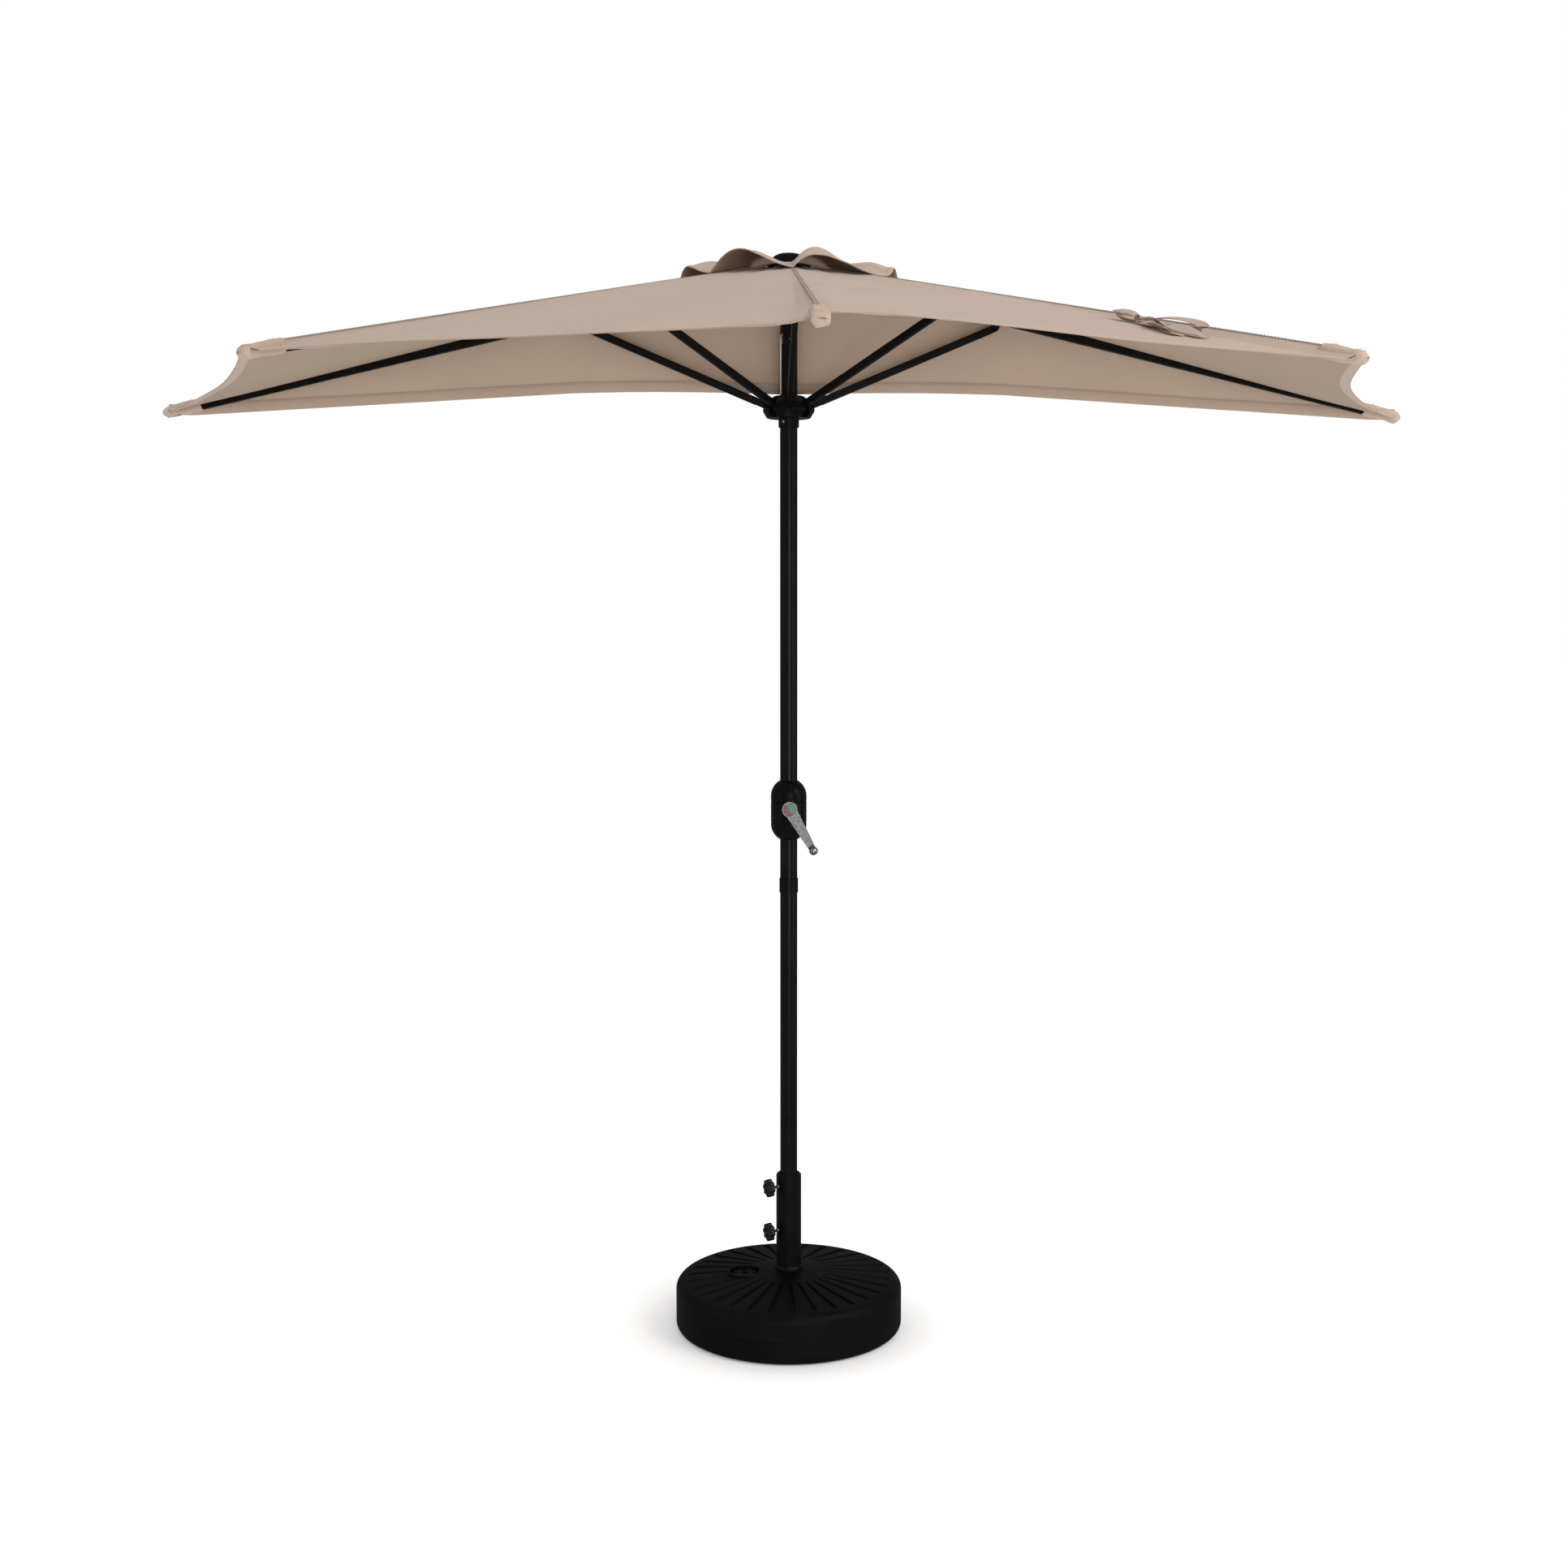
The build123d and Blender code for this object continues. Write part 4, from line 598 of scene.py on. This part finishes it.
def tip_pocket(number):
    """Sleeve of doubled cloth, sewn on at the tip, that the rib's end sits in."""
    azimuth = RIBS[number]
    level, across = outward(azimuth), sideways(azimuth)
    along = (level - Vector((0, 0, RIDGE_SLOPE))).normalized()
    over = across.cross(along).normalized()
    over = over if over.z > 0 else -over
    rings = [
        (1.262, 15, 2.4, 22), (1.264, 15.6, 3.0, 23), (1.280, 15.5, 3.0, 23), (1.298, 15.0, 2.6, 23),
        (1.314, 15.0, 2.2, 23), (1.326, 15.0, 1.6, 23.4), (1.3355, 14.5, 0.4, 23), (1.3400, 13.0, -3.5, 19),
        (1.3430, 10.0, -6.5, 15), (1.3440, 5.0, -9, 12), (1.3441, 0.5, -10, 10.4),
    ]
    rows, uv_rows = [], []
    count = 36
    for rho, half, top, bottom in rings:
        centre = at(rho, azimuth, ridge_z(rho))
        row, uv = [], []
        for j in range(count):
            turn = 2 * pi * j / count
            c, s = cos(turn), sin(turn)
            wide = half / 1000 * (abs(c) ** 0.6) * (1 if c > 0 else -1)
            mean, reach = (top - bottom) / 2000, (top + bottom) / 2000
            tall = mean + reach * (abs(s) ** 0.75) * (1 if s > 0 else -1)
            crease = 0.0012 * noise.noise(Vector((rho * 70, turn * 2.3, number * 3.1)))
            crumple = noise.noise(Vector((rho * 34, turn * 1.2, number * 5.7)))
            crease += 0.0034 * crumple * smooth((rho - 1.262) / 0.02)
            row.append(centre + across * (wide * (1 + 18 * crease)) + over * (tall + crease))
            uv.append((j * 0.003, rho))
        rows.append(row)
        uv_rows.append(uv)
    # the pocket's inner face takes the darker painted-shade copy of the cloth
    pocket = grid(f"tip_pocket_{number}", rows, [cloth_top, cloth_under_painted_shade], uv_rows, closed=True)
    thicken(pocket, 0.0012, offset=-1.0, inner_slot=1)
    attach(pocket, f"rib_{number}")
    found = [pocket]
    for k, row in enumerate((rows[2], rows[5])):
        line = [p + over * 0.0012 for p in row[: count // 2 + 1]]
        sewn = stitches(f"pocket_stitches_{number}_{k}", line, lambda p: over)
        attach(sewn, f"rib_{number}")
        found.append(sewn)
    return found


def vent_point(s, azimuth):
    """Ruffled cap over the vent; s runs from its neck to its free edge."""
    middle = gore_middle(azimuth)
    peak, height = VENT_LOBES[middle]
    t = min(max((azimuth - middle) / 45 + 0.5, 0.0), 1.0)
    crest = sin(pi * t ** (log(0.5) / log(peak))) ** 1.4
    edge_rho = VENT_EDGE * (1 - 0.035 * crest)
    rho = VENT_NECK + (edge_rho - VENT_NECK) * s
    low = VENT_Z + (ridge_z(edge_rho) + 0.0024 - VENT_Z) * s
    hood = 0.42 + 0.25 * sin(azimuth / 24.0)
    raised = height * crest * s**1.2 * (1 - hood * smooth((s - 0.66) / 0.34))
    ripple = 0.0016 * noise.noise(Vector((rho * 22, azimuth / 9.0, 2.0))) * s
    return at(rho, azimuth, low + raised + ripple)


def vent_share(number):
    azimuths = share_azimuths(RIBS[number], 18)
    rows, uv_rows = [], []
    rows.append([at(0.031, a, VENT_NECK_Z) for a in azimuths])
    rows.append([at(0.0445, a, VENT_NECK_Z) for a in azimuths])
    uv_rows.append([(0.0, 0.031)] * len(azimuths))
    uv_rows.append([(radians(a) * 0.0445, 0.0445) for a in azimuths])
    for k in range(25):
        row = [vent_point(k / 24, a) for a in azimuths]
        rows.append(row)
        uv_rows.append([(radians(a) * 0.2, 0.047 + 0.19 * k / 24) for a in azimuths])
    facing, facing_uv = [r[::-1] for r in rows], [r[::-1] for r in uv_rows]
    # the cap's underside takes the darker painted-shade copy of the cloth
    cap = grid(f"vent_cap_{number}", facing, [cloth_top, cloth_under_painted_shade], facing_uv)
    thicken(cap, inner_slot=1)
    ride_rib(cap, number)
    edge = rows[-1]
    inward = [(b - a).normalized() for a, b in zip(rows[-1], rows[-4])]
    hem = folded_edge(f"vent_hem_{number}", edge, inward, 0.0008, width=0.010, thick=0.0010)
    ride_rib(hem, number)
    line = [p + d * 0.0075 + Vector((0, 0, 0.0010)) for p, d in zip(edge, inward)]
    sewn = ride_rib(stitches(f"vent_stitches_{number}", line, up), number)
    return cap, [hem, sewn]


# ---- back flap -----------------------------------------------------------------------------------
def flap_hem_z(x):
    end = ridge_z(TIP) - 0.013
    t = min(max((x - FLAP_FLAT) / (TIP - 0.06 - FLAP_FLAT), 0), 1)
    return FLAP_HEM_Z + (end - FLAP_HEM_Z) * t + 0.004 * sin(pi * min(x / FLAP_FLAT, 1)) * (x < FLAP_FLAT)


def flap_point(side, x, v):
    """v runs 0..1 from the seam over the rib down to the hem."""
    plane_y = 0.0262 + (0.0100 - 0.0262) * x / TIP
    over = smooth((x - 0.055) / 0.125)
    top_y = plane_y + (-0.003 - plane_y) * over
    if x < 0.055:
        top_z = min(ridge_z(x) + 0.0014, FLAP_TOP_Z)
    else:
        top_z = ridge_z(x) * over + FLAP_TOP_Z * (1 - over)
    top_z = min(top_z + 0.0010 * over, 2.3415) if x < 0.18 else ridge_z(x) + 0.0012
    hem = flap_hem_z(x)
    if v < 0.06:
        k = v / 0.06
        y = top_y + (plane_y - top_y) * smooth(k)
        z = top_z - 0.006 * k * k
    else:
        k = (v - 0.06) / 0.94
        y = plane_y
        z = top_z - 0.006 + (hem - top_z + 0.006) * k
        sway = sin(x * 9.5 + 0.6) * 0.6 + noise.noise(Vector((x * 5.0, v * 0.8, side * 2.0)))
        y += 0.0052 * sway * sin(pi * k * 0.62) * (1 - x / TIP) * smooth(k * 2.5)
        y += 0.0010 * noise.noise(Vector((x * 24, v * 3, 7.0 + side))) * (1 - x / TIP)
    return Vector((side * x, y, z))


def flap_half(side):
    name = "left" if side < 0 else "right"
    number = 1 if side < 0 else 5
    rows, uv_rows = [], []
    for i in range(45):
        v = 0.06 * i / 5 if i <= 5 else 0.06 + 0.94 * (i - 5) / 39
        xs = [(TIP - 0.004) * j / 110 for j in range(111)]
        row = [flap_point(side, x, v) for x in xs]
        rows.append(row)
        uv_rows.append([(p.x, p.z) for p in row])
    # the inner face takes the lighter painted-light copy of the cloth
    order = [cloth_top, cloth_back_in_painted_light]
    if side < 0:
        rows = [list(reversed(r)) for r in rows]
        uv_rows = [list(reversed(r)) for r in uv_rows]
    piece = grid(f"back_cloth_{name}", rows, order, uv_rows)
    thicken(piece, inner_slot=1)

    def fold_away(p):
        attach(p, f"rib_{number}")
        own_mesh(p)
        return p

    fold_away(piece)
    hem_line, lower = [], []
    for j in range(0, 121):
        x = (TIP - 0.004) * j / 120
        hem_line.append(flap_point(side, x, 1.0))
        lower.append(flap_point(side, x, 0.93 if x < 1.1 else 0.8))
    strip = []
    folded = [
        (0.022, 0.0010), (0.018, 0.0016), (0.0, 0.0018),
        (-0.0012, 0.0), (0.0, -0.0024), (0.022, -0.0020),
    ]
    for height, out in folded:
        off = Vector((0, out, 0))
        strip.append([p + (q - p).normalized() * height + off for p, q in zip(hem_line, lower)])
    hem = fold_away(grid(f"back_hem_{name}", strip, [cloth_hem]))
    line = [p + (q - p).normalized() * 0.017 + Vector((0, 0.0020, 0)) for p, q in zip(hem_line, lower)]
    sewn = fold_away(stitches(f"back_stitches_{name}", line, lambda p: Vector((0, 1, 0))))
    line = [p + (q - p).normalized() * 0.017 + Vector((0, -0.0024, 0)) for p, q in zip(hem_line, lower)]
    inner = fold_away(stitches(f"back_stitches_in_{name}", line, lambda p: Vector((0, -1, 0))))
    return piece, [hem, sewn, inner]


# ---- strap ---------------------------------------------------------------------------------------
def ribbon(name, path, widths, turn_of=None, samples=48):
    """Strip of webbing along a smooth path; each path point is (along, across, up) from the knot."""
    azimuth = STRAP_AZIMUTH
    level, across = outward(azimuth), sideways(azimuth)
    along = (level - Vector((0, 0, RIDGE_SLOPE))).normalized()
    over = along.cross(across).normalized()
    over = over if over.z > 0 else -over
    origin = skin(STRAP_KNOT, azimuth - 3.8)
    curve = bpy.data.curves.new(name + "_path", "CURVE")
    curve.dimensions = "3D"
    spline = curve.splines.new("NURBS")
    spline.points.add(len(path) - 1)
    for point, (a, b, c) in zip(spline.points, path):
        place = skin_xy(origin + along * a + across * b, 0.003) + over * (0.8 * c)
        point.co = (*place, 1)
    spline.order_u = 4
    spline.use_endpoint_u = True
    spline.resolution_u = samples // len(path) + 4
    holder = bpy.data.objects.new(name + "_path", curve)
    line = [v.co.copy() for v in bpy.data.meshes.new_from_object(holder).vertices]
    bpy.data.objects.remove(holder)
    rows, uv_rows, run = [], [], 0.0
    for k, p in enumerate(line):
        t = k / (len(line) - 1)
        ahead = (line[min(k + 1, len(line) - 1)] - line[max(k - 1, 0)]).normalized()
        twist = turn_of(t) if turn_of else 0.0
        wide = ahead.cross(over)
        wide = (wide if wide.length > 0.05 else across).normalized()
        if wide.dot(across) < 0:
            wide = -wide
        lift = wide.cross(ahead).normalized()
        wide = wide * cos(twist) + lift * sin(twist)
        half = widths[0] + (widths[1] - widths[0]) * t
        run += (p - line[k - 1]).length if k else 0
        row = []
        for w in (-1, -0.6, -0.2, 0.2, 0.6, 1):
            cup = 0.0018 * (1 - w * w) + 0.0012 * noise.noise(Vector((t * 6, w, len(name))))
            row.append(p + wide * (w * half / 2) + lift * cup)
        rows.append(row)
        uv_rows.append([(w * half / 2, run) for w in (-1, -0.6, -0.2, 0.2, 0.6, 1)])
    piece = grid(name, rows, [cloth_strap], uv_rows)
    thicken(piece, 0.0012, offset=0.0)
    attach(piece, "rib_4")
    return piece


def bow():
    """The closing strap, tied loosely on the ridge."""
    loop_in = [
        (0, 0, .004), (-.016, .004, .012), (-.040, .008, .020), (-.062, .004, .014),
        (-.055, -.006, .004), (-.028, -.004, .002), (0, 0, .004),
    ]
    loop_out = [
        (0, 0, .006), (.024, .010, .018), (.070, .016, .026), (.118, .012, .020),
        (.128, .002, .008), (.085, -.004, .003), (.04, .0, .003), (0, 0, .005),
    ]
    tail_a = [(0, 0, .007), (.03, -.016, .014), (.07, -.034, .008), (.11, -.046, .010), (.165, -.062, .003)]
    tail_b = [(0, 0, .006), (.02, -.024, .012), (.05, -.052, .004), (.09, -.074, .008), (.135, -.092, .002)]
    knot = [
        (-.012, .010, .002), (-.010, .004, .014), (0, -.002, .018),
        (.010, -.008, .013), (.009, -.014, .004), (0, -.012, .001),
    ]
    made = [
        ribbon("bow_loop_in", loop_in, (0.020, 0.024), lambda t: 0.5 * sin(pi * t)),
        ribbon("bow_loop_out", loop_out, (0.020, 0.024), lambda t: -0.45 * sin(pi * t)),
        ribbon("bow_tail_a", tail_a, (0.018, 0.030), lambda t: 0.5 * sin(2 * pi * t)),
        ribbon("bow_tail_b", tail_b, (0.018, 0.028), lambda t: -0.4 * sin(2 * pi * t)),
        ribbon("bow_knot", knot, (0.024, 0.022)),
    ]
    return made


for strip in bow():
    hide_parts("tie_strap")


# ---- assembly of the soft pieces -----------------------------------------------------------------
for number, azimuth in RIBS.items():
    cloth = main_share(number)
    trims = hem_pieces(number) + ridge_welt(number) + tip_pocket(number)
    cap, cap_trims = vent_share(number)
    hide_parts(f"canopy_{number}")
    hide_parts(f"canopy_{number}")

for side, name, number in ((-1, "left", 1), (1, "right", 5)):
    cloth, trims = flap_half(side)
    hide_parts(f"back_flap_{name}")


# ---- lift cord's outer run -----------------------------------------------------------------------
def lift_cord():
    top, bottom = CORD_TOP_Z, CORD_BOTTOM_Z
    centre = outward(CORD_AZIMUTH) * CORD_R
    rows, uv_rows = [], []
    for k in range(121):
        z = top + (bottom - top) * k / 120
        row = []
        for j in range(14):
            turn = 2 * pi * j / 14
            plait = 1 + 0.10 * sin(turn * 3 + z * 1400) * sin(turn * 3 - z * 1400)
            radius = CORD_RADIUS * plait
            row.append(centre + Vector((cos(turn) * radius, sin(turn) * radius, z)))
        rows.append(row)
        uv_rows.append([(j * 0.0007, z) for j in range(14)])
    cord = grid("lift_cord_run", rows, [cord_white], uv_rows, closed=True)
    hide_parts("lift_cord_outer")
    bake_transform(cord)
    return cord


lift_cord()


# ---- stage, light and camera ---------------------------------------------------------------------
def stage():
    pale, tree, shader = new_material("pale_floor", (0.93, 0.93, 0.93), 0.9)
    shader.inputs["Specular IOR Level"].default_value = 0.0
    shader.inputs["Emission Color"].default_value = (1, 1, 1, 1)
    shader.inputs["Emission Strength"].default_value = 0.09
    size = 30.0
    ends = ((-size, -size), (size, -size), (size, size), (-size, size))
    corners = [Vector((x, y, -0.0005)) for x, y in ends]
    floor = mesh_piece("studio_floor", corners, [(0, 1, 2, 3)], [pale])
    floor.visible_glossy = False


def area_light(name, place, aim, size, power):
    data = bpy.data.lights.new(name, "AREA")
    data.shape = "RECTANGLE"
    data.size, data.size_y = size
    data.energy = power
    light = bpy.data.objects.new(name, data)
    light.location = place
    light.rotation_euler = (Vector(aim) - Vector(place)).to_track_quat("-Z", "Y").to_euler()
    bpy.context.scene.collection.objects.link(light)


def lighting():
    """White surroundings for the eye and for matt surfaces, dim ones for gloss, and long soft lights."""
    world = bpy.data.worlds.new("studio")
    world.use_nodes = True
    tree = world.node_tree
    background = tree.nodes["Background"]
    background.inputs["Color"].default_value = (1, 1, 1, 1)
    path = tree.nodes.new("ShaderNodeLightPath")
    link(tree, span(tree, path.outputs["Is Glossy Ray"], 1.0, 0.16, 0, 1), background.inputs["Strength"])
    bpy.context.scene.world = world
    area_light("strip_front", (0.62, -5.4, 1.5), (0, 0, 1.3), (0.8, 3.2), 62)
    area_light("strip_left", (-3.6, -1.6, 1.4), (0, 0, 1.2), (0.6, 2.8), 4)
    area_light("strip_right", (3.6, -1.8, 1.6), (0, 0, 1.3), (0.6, 2.8), 16)
    area_light("key_top", (3.4, -2.8, 4.5), (0.3, -0.5, 2.2), (2.0, 2.0), 70)
    bpy.context.scene.view_settings.view_transform = "Standard"


def camera():
    data = bpy.data.cameras.new("camera")
    data.sensor_width = 36.0
    data.lens = 44.13
    data.shift_x = -0.00303
    data.clip_end = 200
    eye = bpy.data.objects.new("camera", data)
    eye.location = (-0.15205, -4.2219, 1.57675)
    eye.rotation_euler = Euler((radians(90 - 4.78), 0, radians(-2.063)))
    bpy.context.scene.collection.objects.link(eye)
    bpy.context.scene.camera = eye


stage()
lighting()
camera()
